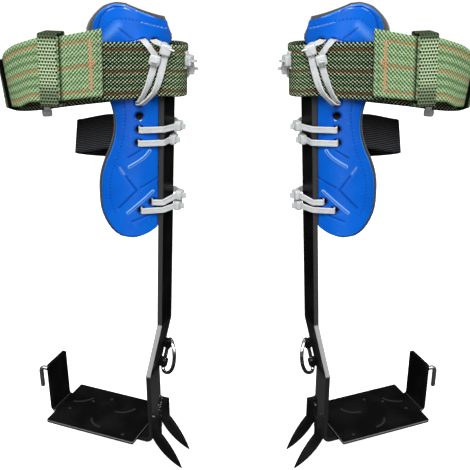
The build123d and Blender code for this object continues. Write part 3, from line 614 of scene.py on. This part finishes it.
def narrow_finish(name, pale, dark, end_shade_tone):
    """Waves on the (length, width) map: cos(u) opens gaps between bars; sin(u / 2) cos(v) dots them."""
    made, add, shader = finish(name, Roughness=0.85, Specular_IOR_Level=0.15)
    along, across, _ = add("SeparateXYZ", [add("UVMap", uv_map="length_and_width")]).outputs
    bars = wave(add, along, BAR_ALONG)
    gap = add("MapRange", [bars, 0.75, 0.1])
    brick = add("Math MULTIPLY", [wave(add, along, 2 * BAR_ALONG, "SINE"), wave(add, across, DOT_ACROSS)])
    dot = add("MapRange", [brick, -0.4, 0.15, 0.2, 1.0])
    share = add("Math MULTIPLY", [gap, dot])
    tone = add("Mix", [share, pale, dark])
    # painted shade: the keeper darkens towards its ends
    painted_end_shade = add("Attribute", attribute_name="painted_end_shade").outputs["Fac"]
    end_shaded = add("Mix", [painted_end_shade, tone, end_shade_tone])
    bump = add("Bump", {"Height": bars, "Strength": 0.5, "Distance": 0.0008})
    wire(shader, {"Base Color": end_shaded, "Normal": bump})
    return made


narrow = narrow_finish("narrow polyester webbing", "a8be95", "040803", "1a2412")
pair("keeper_webbing", skin(keeper_grid, keeper_uv, loop_rows=True, loop_columns=True), narrow,
     ["strap_keeper"], "strap_keeper", {"painted_end_shade": keeper_painted_end_shade})

# %% [markdown]
# ## Hook and loop patches
# The flap holds by a hook patch on its back and a loop patch on the strap.  Both are thin sewn rectangles of
# black nylon tape, whose nap breaks up their colour and their surface.

# %% Patches
PATCH, PATCH_HEIGHT = 1.5, 38.5
PATCH_ENDS = (-77.9, -51.4)
PATCH_MIDDLE = -17
for patch, depth, tape, shade, nap, body in (
        ("flap_hook_patch", -19.21, "hook tape", "4a4d4a", 1.2, "strap_flap"),
        ("strap_loop_patch", -17.41, "loop tape", "38403a", 0.8, "spike")):
    napped = mottled(tape, 1000 / nap, 2.0, "0b0d0b", shade, relief=(0.8, 0.8),
                     Roughness=0.95, Sheen_Weight=0.3)[0]
    patch_route = [(end, depth, PATCH_MIDDLE, PATCH_HEIGHT) for end in PATCH_ENDS]
    patch_grid, patch_uv = strip(patch_route, PATCH, steps=8)
    pair(patch + "_tape", skin(patch_grid, patch_uv, loop_columns=True, caps=True), napped,
         [patch], body)

# %% [markdown]
# ## Elastic band
# Black knitted elastic with fine ribs along it, paler towards its lower edge.  It leaves the back of the
# pad, turns outside the leg and returns.

# %% Elastic band
ELASTIC, ELASTIC_WIDTH = 1.8, 33.0
ELASTIC_LEAN = ((2, 4, 6), (0, -0.09, 0))
ELASTIC_RIB = 2.8
ELASTIC_ROUTE = [
    (-27, 1.9, -78), (-37, 4.4, -79), (-50, 10.2, -82), (-69, 15.5, -88), (-78, 21.5, -92), (-70, 31, -97),
    (-48, 34, -99), (-31, 29, -98.5), (-25, 16, -96), (-24.5, 2.2, -93.5),
]
elastic_grid, elastic_uv = strip([(*stop, ELASTIC_WIDTH) for stop in ELASTIC_ROUTE], ELASTIC, ripple=0.15,
                                 lean=ELASTIC_LEAN)


def knit_finish(name, dark, pale_low, pale_high):
    """A sine across the width, stirred by a noise, is high on the ribs, which fade towards the upper edge."""
    made, add, shader = finish(name, Roughness=0.75, Specular_IOR_Level=0.25)
    place = add("UVMap", uv_map="length_and_width")
    across = add("SeparateXYZ", [place]).outputs[1]
    nap = add("TexNoise", {"Vector": place, "Scale": 1.3, "Detail": 2.0})
    height = add("Math MULTIPLY_ADD", [nap, 0.8, wave(add, across, ELASTIC_RIB, "SINE")])
    level = add("MapRange", [height, 0.8, 1.5])
    fade = add("MapRange", [across, 0.15 * STRAP_WIDTH, 0.9 * STRAP_WIDTH])
    pale = add("Mix", [fade, pale_low, pale_high])
    tone = add("Mix", [level, dark, pale])
    bump = add("Bump", {"Height": height, "Strength": 0.5, "Distance": 0.0005})
    wire(shader, {"Base Color": tone, "Normal": bump})
    return made


pair("shin_elastic_band", skin(elastic_grid, elastic_uv, loop_columns=True, caps=True),
     knit_finish("knitted elastic", "010101", "4a4c50", "141416"), ["shin_elastic"])

# %% [markdown]
# ## The pad's outline
# Shell and liner share one way of building: a curved left side, a right side that clears the bar, and
# straight rows between them.  The rows are then bent round an upright cylinder, so the pad cups the shin.

# %% Pad shape helpers
PAD_RADIUS = 46.0
PAD_AXIS = np.array([-27.2, 38.0])
SHELL_WALL, LINER_WALL, SEAT_GAP = 2.5, 6.0, 0.1
LINER_INSIDE = PAD_RADIUS - SHELL_WALL - LINER_WALL
PAD_EDGE, PAD_SHOULDER = -0.5, 9.2
SHOULDER_HEIGHTS = (1.6, 2.4, 7.5)
BOTTOM_BULGE = 2.0
RIM_STEP = 3


def pad_rows(side, top, bottom, rows, columns):
    """Straight rows from a curved left side to the right one, as (p, h) grids; the bottom row bulges down."""
    left = smooth(side, 40)
    left = at_lengths(left, np.linspace(0, run_length(left)[-1], rows))
    drop = np.maximum.accumulate(left[0, 1] - left[:, 1])
    fall = 0.9 * drop / drop[-1] + 0.1 * np.linspace(0, 1, rows)
    right_h = top[1] + fall * (bottom - top[1])
    right_p = np.interp(right_h, [bottom, *SHOULDER_HEIGHTS, top[1]],
                        [PAD_EDGE, PAD_EDGE, PAD_SHOULDER, PAD_SHOULDER, top[0]])
    share = np.linspace(0, 1, columns)[None, :]
    p = left[:, :1] * (1 - share) + right_p[:, None] * share
    h = left[:, 1:] * (1 - share) + right_h[:, None] * share
    low = np.clip((fall[:, None] - 0.9) / 0.1, 0, 1) ** 2
    return p, h - BOTTOM_BULGE * low * np.sin(math.pi * share)


def on_cylinder(p, h, radius):
    """(p, h) laid on an upright cylinder: q is the axis less the root of radius squared minus offset squared.

    Past the cylinder's side, where that would be below a fifth of the radius, the surface stays level."""
    reach = np.sqrt(np.maximum(radius ** 2 - (p - PAD_AXIS[0]) ** 2, (0.2 * radius) ** 2))
    return np.stack([p, PAD_AXIS[1] - reach, h], -1)


def line_distance(p, h, points):
    """The distance from every (p, h) to a line of points, the least over its straight pieces."""
    a, b = np.array(points[:-1], float), np.array(points[1:], float)
    x = np.stack([p, h], -1)[..., None, :]
    t = np.clip(((x - a) * (b - a)).sum(-1) / ((b - a) ** 2).sum(-1), 0, 1)
    return np.linalg.norm(x - a - t[..., None] * (b - a), axis=-1).min(-1)


def rim_distance(p, h, sides):
    """The distance from every (p, h) to the grid's own rim, along the named sides one after another."""
    grid = np.stack([p, h], -1)
    runs = {"top": grid[0, ::-1], "left": grid[:, 0], "bottom": grid[-1], "right": grid[::-1, -1]}
    return line_distance(p, h, np.concatenate([runs[side] for side in sides])[::RIM_STEP])


print("pad's front is", PAD_RADIUS, "mm and its inside", LINER_INSIDE, "mm from the axis")

# %% [markdown]
# ## Shin shell
# The hard outer shell is moulded polypropylene.  Its rolled edge, pressed lines and raised ribs are real
# shape, and the tie holes are punched through: points that fall inside a hole move out to its rim.

# %% Shell shape
SHELL_SIDE = [
    (-28.4, 36.8), (-38.1, 36.8), (-46.8, 32.6), (-54.2, 25.2), (-58.8, 14.3), (-56.5, 0), (-51, -24),
    (-43.4, -45), (-38.6, -62), (-38.6, -78), (-42.4, -93), (-48.4, -108), (-52.4, -124), (-53.2, -140),
    (-51.4, -157), (-44.6, -169.6), (-34.8, -178.2), (-22.5, -180.4),
]
SHELL_TOP, SHELL_BOTTOM = (6.0, 22.4), -171.3
SHELL_ROWS, SHELL_COLUMNS = 340, 110
HOLE = 3.5
HOLES = [(-17, -72.9, HOLE), (-17.6, -85.5, HOLE), (-5.4, -144.6, HOLE), (-15.1, -152.2, HOLE),
         (-17, -60.5, HOLE), (-17, -47.4, 4.1), (-14, 5.2, HOLE), (-4.6, 5.2, HOLE)]
EDGED_RIBS = [
    ([(-25.7, -108.5), (-19, -104.3), (-13.2, -100.2), (-9.7, -96.7), (-7.8, -93.7)], 1.1, 0.6, 0.75),
    ([(-27.5, -154.7), (-16, -144.2), (-4.9, -134)], 1.1, 0.6, 0.75),
]
SOFT_RIBS = [
    ([(-48, 4.6), (-34.7, 19.3)], 3.0, 0.5, 0.16),
    ([(-34.8, -110.2), (-30.5, -116.3)], 0.8, 0.3, 0.4),
    ([(-14.4, 22.2), (-4.3, 19.2), (6, 15.4)], 0.6, 0.3, 0.12),
]
RIB_EDGE = 0.33
CREASES = [
    ([(-27, -100), (-15.9, -93)], 0.8, 0.55),
    ([(-34.8, -111.2), (-19.3, -132), (-36.3, -150.8)], 0.8, 0.6),
    ([(0.5, -120.6), (-15.5, -129.6)], 0.8, 0.6),
    ([(-23.8, -164), (-8.5, -157.8)], 0.8, 0.5),
    ([(-34.7, 16.8), (-20.2, 6.4)], 0.8, 0.5),
    ([(-53.9, 12), (-50.4, 24), (-44.4, 31), (-37.6, 34.6), (-28.4, 34.7), (-19.5, 32)], 0.7, 0.6),
]
STITCH_LINES = [
    [(-45.8, 16.1), (-41.5, 20.6), (-36.5, 24.1), (-26.1, 24.8), (-14.4, 22.9), (-4.3, 19.9), (5, 16.4)],
    [(-30.7, -45.9), (-29.5, -60), (-31.5, -78.4), (-35, -94.7), (-41.7, -113.7), (-44.5, -129.7),
     (-43.2, -147.2), (-37.4, -161)],
]
STITCH_STEP, STITCH_DEPTH, STITCH_HALF = 3.4, 0.5, 0.75
ROLL_DEPTH, ROLL_REACH, ROLL_FADE = 1.3, 2.2, 16.0
DISH_DEPTH, DISH_REACH = 0.9, 0.9
shell_p, shell_h = pad_rows(SHELL_SIDE, SHELL_TOP, SHELL_BOTTOM, SHELL_ROWS, SHELL_COLUMNS)
raised, bright, pressed, dish = np.zeros((4, *shell_p.shape))
# painted highlights: glints along both sides of the edged ribs and pale strokes on the soft ribs
for ribs, edged in ((EDGED_RIBS, True), (SOFT_RIBS, False)):
    for line, half, height, shine in ribs:
        away = line_distance(shell_p, shell_h, line)
        raised += height * np.clip(1.5 - away / half, 0, 1)
        off_glint = (away - half) / RIB_EDGE if edged else away / half
        bright = np.maximum(bright, shine * np.exp(-off_glint ** 2))
for line, half, depth in CREASES:
    pressed = np.maximum(pressed, depth * np.exp(-(line_distance(shell_p, shell_h, line) / half) ** 2))
for line in STITCH_LINES:
    curve = smooth(line, 20)
    marks = at_lengths(curve, np.arange(0, run_length(curve)[-1], STITCH_STEP))
    nearest = np.hypot(shell_p[..., None] - marks[:, 0], shell_h[..., None] - marks[:, 1]).min(-1)
    pressed = np.maximum(pressed, STITCH_DEPTH * np.exp(-(nearest / STITCH_HALF) ** 2))
to_rim = rim_distance(shell_p, shell_h, ("top", "left", "bottom"))
free_edge = np.clip((PAD_EDGE - shell_p) / ROLL_FADE, 0, 1)
rolled = ROLL_DEPTH * free_edge * np.clip(1 - to_rim / ROLL_REACH, 0, 1) ** 2
inside = np.zeros(shell_p.shape, bool)
for p0, h0, radius in HOLES:
    away = np.hypot(shell_p - p0, shell_h - h0)
    hit = away < radius
    stretch = np.where(hit, radius / np.maximum(away, 1e-6), 1)
    shell_p = p0 + (shell_p - p0) * stretch
    shell_h = h0 + (shell_h - h0) * stretch
    inside |= hit
    dish = np.maximum(dish, DISH_DEPTH * np.exp(-((np.maximum(away, radius) - radius) / DISH_REACH) ** 2))
shell_grid = on_cylinder(shell_p, shell_h, PAD_RADIUS + raised - pressed - rolled - dish)
points, faces, marks = skin(shell_grid.transpose(1, 0, 2)[::-1])
keep = ~inside.T[::-1].ravel()[np.array(faces)].all(1)
shell_surface = (points, np.array(faces)[keep].tolist(), marks.reshape(-1, 4, 2)[keep].reshape(-1, 2))
print("shell grid", shell_grid.shape[:2], "with", len(HOLES), "holes")

# %% [markdown]
# ## Shell finish
# Injection-moulded blue polypropylene: glossy and a little wavy from the mould.  Painted shade darkens the
# pressed lines, the dishes round the holes and the neck below the strap, and painted highlights make the
# rolled edge and the ribs' edges paler.

# %% Shell finish and piece
# painted shade comes in through pressed, painted highlights through rolled and bright
SHELL_MARKS = (("pressed", 0.0, 0.6, 0.75, "06348f"), ("rolled", 0.1, 0.8, 0.55, "4f93e2"),
               ("bright", 0.0, 1.0, 1.0, "a4d3fb"))
moulded, add, shader, place, tone = mottled("moulded polypropylene", 45.0, 4.0, "0450ba", "0c69d4", IOR=1.49)
for mark, start, full, most, shade in SHELL_MARKS:
    level = add("Attribute", attribute_name=mark).outputs["Fac"]
    share = add("MapRange", [level, start, full, 0, most])
    tone = add("Mix", [share, tone, shade])
wire(shader, {"Base Color": tone})
grained(add, shader, place, 160.0, 3.0, (0.3, 0.7), 0.17, 0.28, relief=(0.12, 1.0))
# painted shade on the neck under and below the strap, fading downwards and weaker towards the bar
neck_painted_shade = np.interp(shell_h, [-172, -150, -100, -60, -46, -20, 0], [0, 0.1, 0.16, 0.36, 0.42, 0.42, 0])
neck_painted_shade *= np.interp(shell_p, [-26, -6], [1, 0.45])
shell_values = {key: numbers.T[::-1] for key, numbers in
                (("pressed", pressed + dish + neck_painted_shade), ("rolled", rolled), ("bright", bright))}
for shell in pair("shin_shell_moulding", shell_surface, moulded, ["shin_shell"],
                  values=shell_values):
    wall = shell.modifiers.new("wall", "SOLIDIFY")
    wall.thickness = (SHELL_WALL - SEAT_GAP) / 1000
    wall.offset = -1

# %% [markdown]
# ## Foam liner
# Behind the shell lies a foam pad in a grey-brown fabric cover.  It stands proud of the shell at the edge,
# so it shows as a soft rim, and its edges are round because the cover pulls them in.  Below the strap it is
# dark.

# %% Liner
LINER_SIDE = [
    (-29, 37.4), (-36.5, 37.6), (-44, 35.3), (-50.7, 31.2), (-58.9, 22.5), (-65.2, 13), (-67.6, 4),
    (-63.4, -8), (-55, -26), (-45.6, -46), (-40.8, -62), (-40.8, -78), (-44.8, -93), (-51, -108),
    (-55.4, -124), (-56.4, -140), (-54.6, -158), (-47.4, -171.8), (-36.6, -180.4), (-23, -182.6),
]
LINER_TOP, LINER_BOTTOM = (3.4, 25.0), -172.8
LINER_ROWS, LINER_COLUMNS = 150, 60
LINER_EDGE = 3.0
DENT_DEPTH, DENT_RIM = 4.0, 1.2
COVER_DARK, COVER_FADE = 420, 40
liner_p, liner_h = pad_rows(LINER_SIDE, LINER_TOP, LINER_BOTTOM, LINER_ROWS, LINER_COLUMNS)
to_edge = rim_distance(liner_p, liner_h, ("left", "bottom", "right", "top"))
crown = np.sqrt(np.clip(1 - (1 - np.clip(to_edge / LINER_EDGE, 0, 1)) ** 2, 0.015, 1))
dent = np.zeros_like(liner_p)
for p0, h0, radius in HOLES:
    away = np.hypot(liner_p - p0, liner_h - h0)
    dent = np.maximum(dent, np.clip((radius + DENT_RIM - away) / DENT_RIM, 0, 1))
liner_middle = PAD_RADIUS - SHELL_WALL - LINER_WALL / 2
liner_half = (LINER_WALL / 2 - SEAT_GAP) * crown
front = on_cylinder(liner_p, liner_h, liner_middle + liner_half - DENT_DEPTH * dent).transpose(1, 0, 2)
back = on_cylinder(liner_p, liner_h, liner_middle - liner_half).transpose(1, 0, 2)
flat_map = np.stack([liner_p, liner_h], -1).transpose(1, 0, 2)
liner_uv = np.concatenate([flat_map[::-1], flat_map, flat_map[-1:]])
sides = skin(np.concatenate([front[::-1], back]), liner_uv, loop_rows=True)
count = 2 * LINER_COLUMNS
near = np.arange(LINER_COLUMNS - 1)
ends = []
for row, step in ((0, 1), (LINER_ROWS - 1, -1)):
    quad = np.stack([near, near + 1, count - 2 - near, count - 1 - near], -1) * LINER_ROWS + row
    ends += quad[:, ::step].tolist()
end_marks = liner_uv[:-1].reshape(-1, 2)[np.array(ends).ravel()]
liner_surface = (sides[0], sides[1] + ends, np.concatenate([sides[2], end_marks]))
cover, add, shader, place, tone = mottled("brushed foam cover", 900.0, 3.0, "2b2825", "504a44",
                                          relief=(0.6, 0.6), Roughness=0.95, Sheen_Weight=0.2)
tone = by_height(add, place, "100f0e", [(COVER_DARK, COVER_FADE, tone)])
# painted shade: the dents behind the shell's holes are near black
pit = add("Attribute", attribute_name="dent").outputs["Fac"]
wire(shader, {"Base Color": add("Mix", [pit, tone, "090908"])})
liner_dent = np.concatenate([dent.T[::-1], 0 * dent.T])
for liner in pair("shin_liner_cushion", liner_surface, cover, ["shin_liner"],
                  values={"dent": liner_dent}):
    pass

# %% [markdown]
# ## Cable ties
# A cable tie is a flat band of pale, slightly see-through nylon, with a box head that its tail passes
# through.  The band is a strip section carried round a closed line; the head and the cut tail are rounded
# boxes.

# %% Tie shapes
TIE_WIDTH, TIE_THICKNESS = 6.0, 1.5
TIE_HEAD, TIE_HEAD_HEIGHT = 9.5, 6.0
TIE_TAIL, TIE_TAIL_WIDTH = 3.5, 5.4
TIE_GROOVE = 0.25
HEAD_POWER, TAIL_POWER = 0.36, 0.2
BOX_TURNS, BOX_RINGS, BOX_REACH = 28, 15, 1.45


def rounded_box(size, place, axes, power):
    """A superellipsoid: cosines and sines to a small power push a ball out to its box; flat caps end it."""
    def bent(x):
        return np.sign(x) * np.abs(x) ** power
    u = np.linspace(math.pi, -math.pi, BOX_TURNS + 1)[:-1][None, :]
    v = np.linspace(-BOX_REACH, BOX_REACH, BOX_RINGS)[:, None]
    ball = np.stack(np.broadcast_arrays(bent(np.cos(v)) * bent(np.cos(u)), bent(np.cos(v)) * bent(np.sin(u)),
                                        bent(np.sin(v))), -1)
    return skin(place + (ball * np.array(size) / 2) @ axes, loop_columns=True, caps=True)


def tie_band(line, outward):
    """The band's section carried round a closed line: outward times depth plus sideways times breadth."""
    heading = unit(np.roll(line, -1, 0) - np.roll(line, 1, 0))
    outward = unit(outward - heading * (outward * heading).sum(-1, keepdims=True))
    sideways = np.cross(heading, outward)
    flat, cosine, sine = strip_section(7, 3)
    r = TIE_THICKNESS / 2
    breadth = flat * (TIE_WIDTH / 2 - r) + r * cosine
    depth = r * sine - TIE_GROOVE * (1 - np.abs(flat) ** 4) * (sine > 0.9)
    grid = (line[:, None] + outward[:, None] * depth[None, :, None]
            + sideways[:, None] * breadth[None, :, None])
    return skin(grid[:, ::-1], loop_rows=True, loop_columns=True)


def tie_head(place, along, outward, tail_way=None):
    """The head on the band, with the cut tail standing out of it."""
    outward, along, place = (np.asarray(v, float) for v in (outward, along, place))
    axes = np.stack([along, np.cross(outward, along), outward])
    box_place = place + outward * TIE_HEAD_HEIGHT / 2
    box = rounded_box((TIE_HEAD, TIE_HEAD, TIE_HEAD_HEIGHT), box_place, axes, HEAD_POWER)
    way = outward if tail_way is None else unit(np.asarray(tail_way, float))
    tail_axes = np.stack([unit(np.cross(axes[1], way)), axes[1], way])
    tail_place = place + (outward + way) * TIE_HEAD_HEIGHT / 2 + way * (TIE_TAIL - TIE_HEAD_HEIGHT / 2) / 2
    tail_size = (TIE_THICKNESS, TIE_TAIL_WIDTH, TIE_TAIL + TIE_HEAD_HEIGHT / 2)
    return [box, rounded_box(tail_size, tail_place, tail_axes, TAIL_POWER)]


nylon = mottled("natural nylon", 220.0, 2.0, "a9acad", "c9cbcb", relief=(0.15, 0.5), Roughness=0.38, IOR=1.53,
                Subsurface_Weight=0.35, Subsurface_Scale=0.002, Subsurface_Radius=(1.0, 0.95, 0.9))[0]
print("tie head", TIE_HEAD, "mm wide")

# %% [markdown]
# ## Ties between pad and bar
# Four ties go through the pad's holes, round its edge and round the bar.  Each lies level up to the bar's
# front corner, then climbs along the broad face to its head, which stands a little off the bar.

# %% Shank ties
TOE_OUT = math.radians(21.7)
BAR_WIDTH, BAR_THICKNESS = 22.5, 5.0
TIE_CLEARANCE = 0.8
TIE_INWARD = 7
SHANK_TIES = {"mid_tie_upper": (-17, -72.9, 6, 1.7), "mid_tie_lower": (-17.6, -85.5, 1, 0.6),
              "low_tie_upper": (-5.4, -144.6, 8, 6), "low_tie_lower": (-15.1, -152.2, 6.5, 2.7)}
turn_out = np.array([math.cos(TOE_OUT), -math.sin(TOE_OUT)])
turn_back = np.array([math.sin(TOE_OUT), math.cos(TOE_OUT)])


def pad_depth(p, radius):
    """How far back the pad's curve of this radius lies at p across."""
    return PAD_AXIS[1] - math.sqrt(radius ** 2 - (p - PAD_AXIS[0]) ** 2)


for name, (p0, h0, slack, climb) in SHANK_TIES.items():
    inside_p = p0 + TIE_THICKNESS / 2 + TIE_CLEARANCE
    near = turn_out * BAR_THICKNESS
    middle = turn_out * (BAR_THICKNESS + slack) + turn_back * BAR_WIDTH / 2
    core = [(inside_p, pad_depth(p0, PAD_RADIUS)), near, middle - turn_back * TIE_HEAD / 2,
            middle + turn_back * TIE_HEAD / 2, near + turn_back * BAR_WIDTH, turn_back * BAR_WIDTH,
            (inside_p, pad_depth(inside_p + TIE_INWARD, LINER_INSIDE))]
    loop, _ = loop_round(core, TIE_CLEARANCE + TIE_THICKNESS / 2, 130)
    line = np.column_stack([loop, h0 + np.interp(loop[:, 0], [near[0], middle[0]], [0, climb])])
    outward = np.column_stack([loop_outward(loop), np.zeros(len(loop))])
    head_place = (*middle + TIE_CLEARANCE * turn_out, h0 + climb)
    parts = [tie_band(line, outward)] + tie_head(head_place, (*-turn_back, 0), (*turn_out, 0))
    pair(name + "_band", joined(parts), nylon, [name])

# %% [markdown]
# ## Ties over the strap
# Two ties bind the strap to the pad: out of one low hole, up over the webbing, over its top edge and into a
# high hole.

# %% Strap ties
SLANT = math.radians(15)
LOW_HOLE_P, LOW_HOLE_H, HIGH_HOLE_H = -17.0, -47.4, 5.2
STACK = 1.9
STRAP_TIES = {
    "strap_tie_inner": ((-2.6, -14.2, -6.8),
                        [(-6.4, -15.2, 2.6), (-9.6, -14.8, 6.4), (-12.8, -11.6, 8.8), (-15, -8.5, 7.6)],
                        [(-14.2, -15.6, -42), (-7.6, -15.4, -27)], -14.0, 0.0, (0, -1, 0)),
    "strap_tie_outer": ((6.6, -12.8, 2.1), [(2.4, -13.4, 6.4), (-1.5, -12.9, 7.8), (-4.4, -9.8, 8.8)],
                        [(-11.5, -17.0, -44.5), (-0.6, -16.4, -30)], -4.6, STACK, (0.85, -0.5, 0.15)),
}
for name, (head, above, below, hole, stack, tail_way) in STRAP_TIES.items():
    low = LOW_HOLE_H + STACK / 2 - stack
    liner_back = max(pad_depth(hole + HOLE, LINER_INSIDE), pad_depth(LOW_HOLE_P, LINER_INSIDE))
    behind = liner_back + TIE_THICKNESS + TIE_CLEARANCE + stack / 2
    stations = [head, *above, (hole, pad_depth(hole, PAD_RADIUS) - TIE_THICKNESS, HIGH_HOLE_H),
                (hole, liner_back, HIGH_HOLE_H), (hole, behind, HIGH_HOLE_H - TIE_INWARD),
                (LOW_HOLE_P, behind, low + TIE_INWARD), (LOW_HOLE_P, liner_back, low),
                (LOW_HOLE_P, pad_depth(LOW_HOLE_P, PAD_RADIUS) - 2 * TIE_THICKNESS, low), *below]
    line = smooth(stations, 10, closed=True)
    outward = (line - line.mean(0)) * (0, 1, 1)
    head_place = np.array(head) + (0, TIE_THICKNESS / 2, 0)
    head_parts = tie_head(head_place, (math.sin(SLANT), 0, math.cos(SLANT)), (0, -1, 0), tail_way)
    parts = [tie_band(line[::-1], outward[::-1])] + head_parts
    pair(name + "_band", joined(parts), nylon, [name])

# %% [markdown]
# ## Ties round the webbing
# Two ties pass through the strap's fold beside the bar, and one goes round the strap behind the calf, with
# its head under the lower edge.

# %% Upright ties
CAD_STRAP_STEPS = 3
SLOT_HALF, WEB_GAP = 6.2, 0.2
UPRIGHT_TIES = {"side_tie_front": (7 * CAD_STRAP_STEPS + 2, 9.7),
                "side_tie_rear": (8 * CAD_STRAP_STEPS + 1, 0.7), "rear_tie": (13 * CAD_STRAP_STEPS + 2, None)}
route_line = smooth(STRAP_ROUTE[:16], CAD_STRAP_STEPS)
for name, (station, head_height) in UPRIGHT_TIES.items():
    middle, width = route_line[station, :3], route_line[station, 3]
    way = unit(route_line[station + 1, :2] - route_line[station - 1, :2])
    square_out = np.array([way[1], -way[0], 0])
    upright = np.stack([square_out, [0, 0, 1]])
    reach, centre = (width / 2, 0) if head_height is None else (SLOT_HALF, head_height)
    low, high = centre - reach, centre + reach
    loop, _ = loop_round([(-WEB / 2, low), (WEB / 2, low), (WEB / 2, high), (-WEB / 2, high)],
                         WEB_GAP + TIE_THICKNESS / 2, 90)
    if head_height is None:
        head = tie_head(middle + (0, 0, low - WEB_GAP), square_out, (0, 0, -1), square_out)
    else:
        head = tie_head(middle + np.array([WEB / 2 + WEB_GAP, head_height]) @ upright, (0, 0, 1), square_out)
    band = tie_band(middle + loop @ upright, loop_outward(loop) @ upright)
    pair(name + "_band", joined([band] + head), nylon, [name])

# %% [markdown]
# ## Black paint
# The steel is sprayed with black paint: semi-gloss, with a faint orange-peel texture and a greyer rubbed
# tone in patches.  On the shank a painted reflection makes its narrow front edge grey, most of all between
# the two bends, the foot is a dull grey, and painted shade makes the broad face near black below the
# plate's top.  The plate's edge and its raised tread marks are grey.

# %% Black paint
HALF_STANCE, PAIR_BACK = 149.7, 13.451
BAR_FRONT = -21.45
LOW_BEND, HIGH_BEND = 109.1, 175.1
PLATE_TOP, SHEET = 32.5, 3.5


def paint_finish(name, deep, rubbed, shine=0.35):
    """Black paint: two tones mixed by a slow noise, and a fine noise for gloss and orange peel."""
    painted = mottled(name, 38.0, 6.0, deep, rubbed, span=(0.42, 0.72), IOR=1.5, Specular_IOR_Level=shine)
    grained(*painted[1:4], 700.0, 2.0, (0.3, 0.7), 0.32, 0.5, relief=(0.15, 0.4))
    return painted


paint = paint_finish("black sprayed paint", "070707", "161616")[0]
gaff_paint = paint_finish("thin black paint on gaffs", "0d0d0d", "222222")[0]
sheet, add, shader, place, tone = paint_finish("black paint on sheet", "0a0a0a", "151515", shine=0.1)
sheet_layers = [(PLATE_TOP - SHEET / 2, 0.3, "7a7a7a"), (PLATE_TOP - 0.4, 0.3, tone),
                (PLATE_TOP + 0.3, 0.4, "2c2c2c"), (PLATE_TOP + 1.0, 0.2, tone)]
wire(shader, {"Base Color": by_height(add, place, tone, sheet_layers)})

thin, add, shader, place, tone = paint_finish("black paint on shank with painted reflection and shade", "070707", "141414")
split = add("SeparateXYZ", [place])
side = add("Math ABSOLUTE", [split.outputs[0]])
across = add("Math MULTIPLY_ADD", [side, -1000 * math.sin(TOE_OUT), HALF_STANCE * math.sin(TOE_OUT)])
back = add("Math MULTIPLY_ADD", [split.outputs[1], 1000 * math.cos(TOE_OUT), -PAIR_BACK * math.cos(TOE_OUT)])
depth = add("Math ADD", [across, back])
on_front = add("MapRange", [depth, BAR_FRONT + 0.5, BAR_FRONT + 0.2])
# painted reflection: the narrow front edge is grey, palest between the bends; painted shade: below the plate's
# top the broad face is near black
edge_reflection_tone = by_height(add, place, "1f1f1f", [(LOW_BEND - 1, 2, "a6a6a6"), (HIGH_BEND - 1, 2, "363636")])
broad_tone = by_height(add, place, "0a0a0a", [(PLATE_TOP - 1, 2, "3a3a3a"), (LOW_BEND - 1, 2, "262626"),
                                              (HIGH_BEND - 1, 2, tone)])
wire(shader, {"Base Color": add("Mix", [on_front, broad_tone, edge_reflection_tone])})
print("grey front edge at", BAR_FRONT, "mm in the spike's own frame")

# %% [markdown]
# ## Weld metal
# Weld beads are rough, and light grey flecks on them are painted glints.

# %% Weld metal
FLECKS = 420.0
weld, add, shader, place, tone = paint_finish("spattered weld metal", "0c0c0c", "262626")
fleck = add("TexVoronoi", {"Vector": place, "Scale": FLECKS}).outputs["Distance"]
# painted glints: light grey flecks spread over the weld beads
glint_share = add("MapRange", [fleck, 0.32, 0.18])
spattered = add("Mix", [glint_share, tone, "a8a8a8"])
bump = add("Bump", {"Height": fleck, "Strength": 0.9, "Distance": 0.001})
wire(shader, {"Base Color": spattered, "Normal": bump})
print("flecks of weld metal about", round(1000 / FLECKS, 1), "mm apart")

# %% [markdown]
# ## Bright plating
# The ring is chrome-plated wire: bright, with fine wear that dulls it in spots.  The hook is plated rod too,
# but duller, so it is pale all over.


# %% Bright plating
def plated_finish(name, shade, polished, dull):
    """Plated metal: its roughness goes between a polished and a dull value with a fine noise."""
    made, add, shader = finish(name, Base_Color=shade, Metallic=1.0)
    grained(add, shader, add("TexCoord").outputs["Object"], 300.0, 4.0, (0.35, 0.75), polished, dull)
    return made


chrome = plated_finish("chrome plate", "e8e9eb", 0.16, 0.34)
zinc = plated_finish("dull zinc plate", "e2e3e4", 0.35, 0.5)
print("plated finishes:", chrome.name, "and", zinc.name)

# %% [markdown]
# ## Finishes on the steel
# The steel pieces keep their CAD shapes, so each of them only gets its finish.

# %% Finishes on the CAD nodes
COATS = {"foot_plate": sheet, "ring_lugs": paint, "plate_welds": paint, "hook_weld": paint, "shank": thin,
         "front_gaff": gaff_paint, "rear_gaff": gaff_paint, "gaff_welds": weld, "d_ring": chrome,
         "strap_hook": zinc}
for side in ("left", "right"):
    for each, coat in COATS.items():
        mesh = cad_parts[f"{side}_{each}"].data
        mesh.materials.clear()
        mesh.materials.append(coat)
print("finished", 2 * len(COATS), "steel nodes")
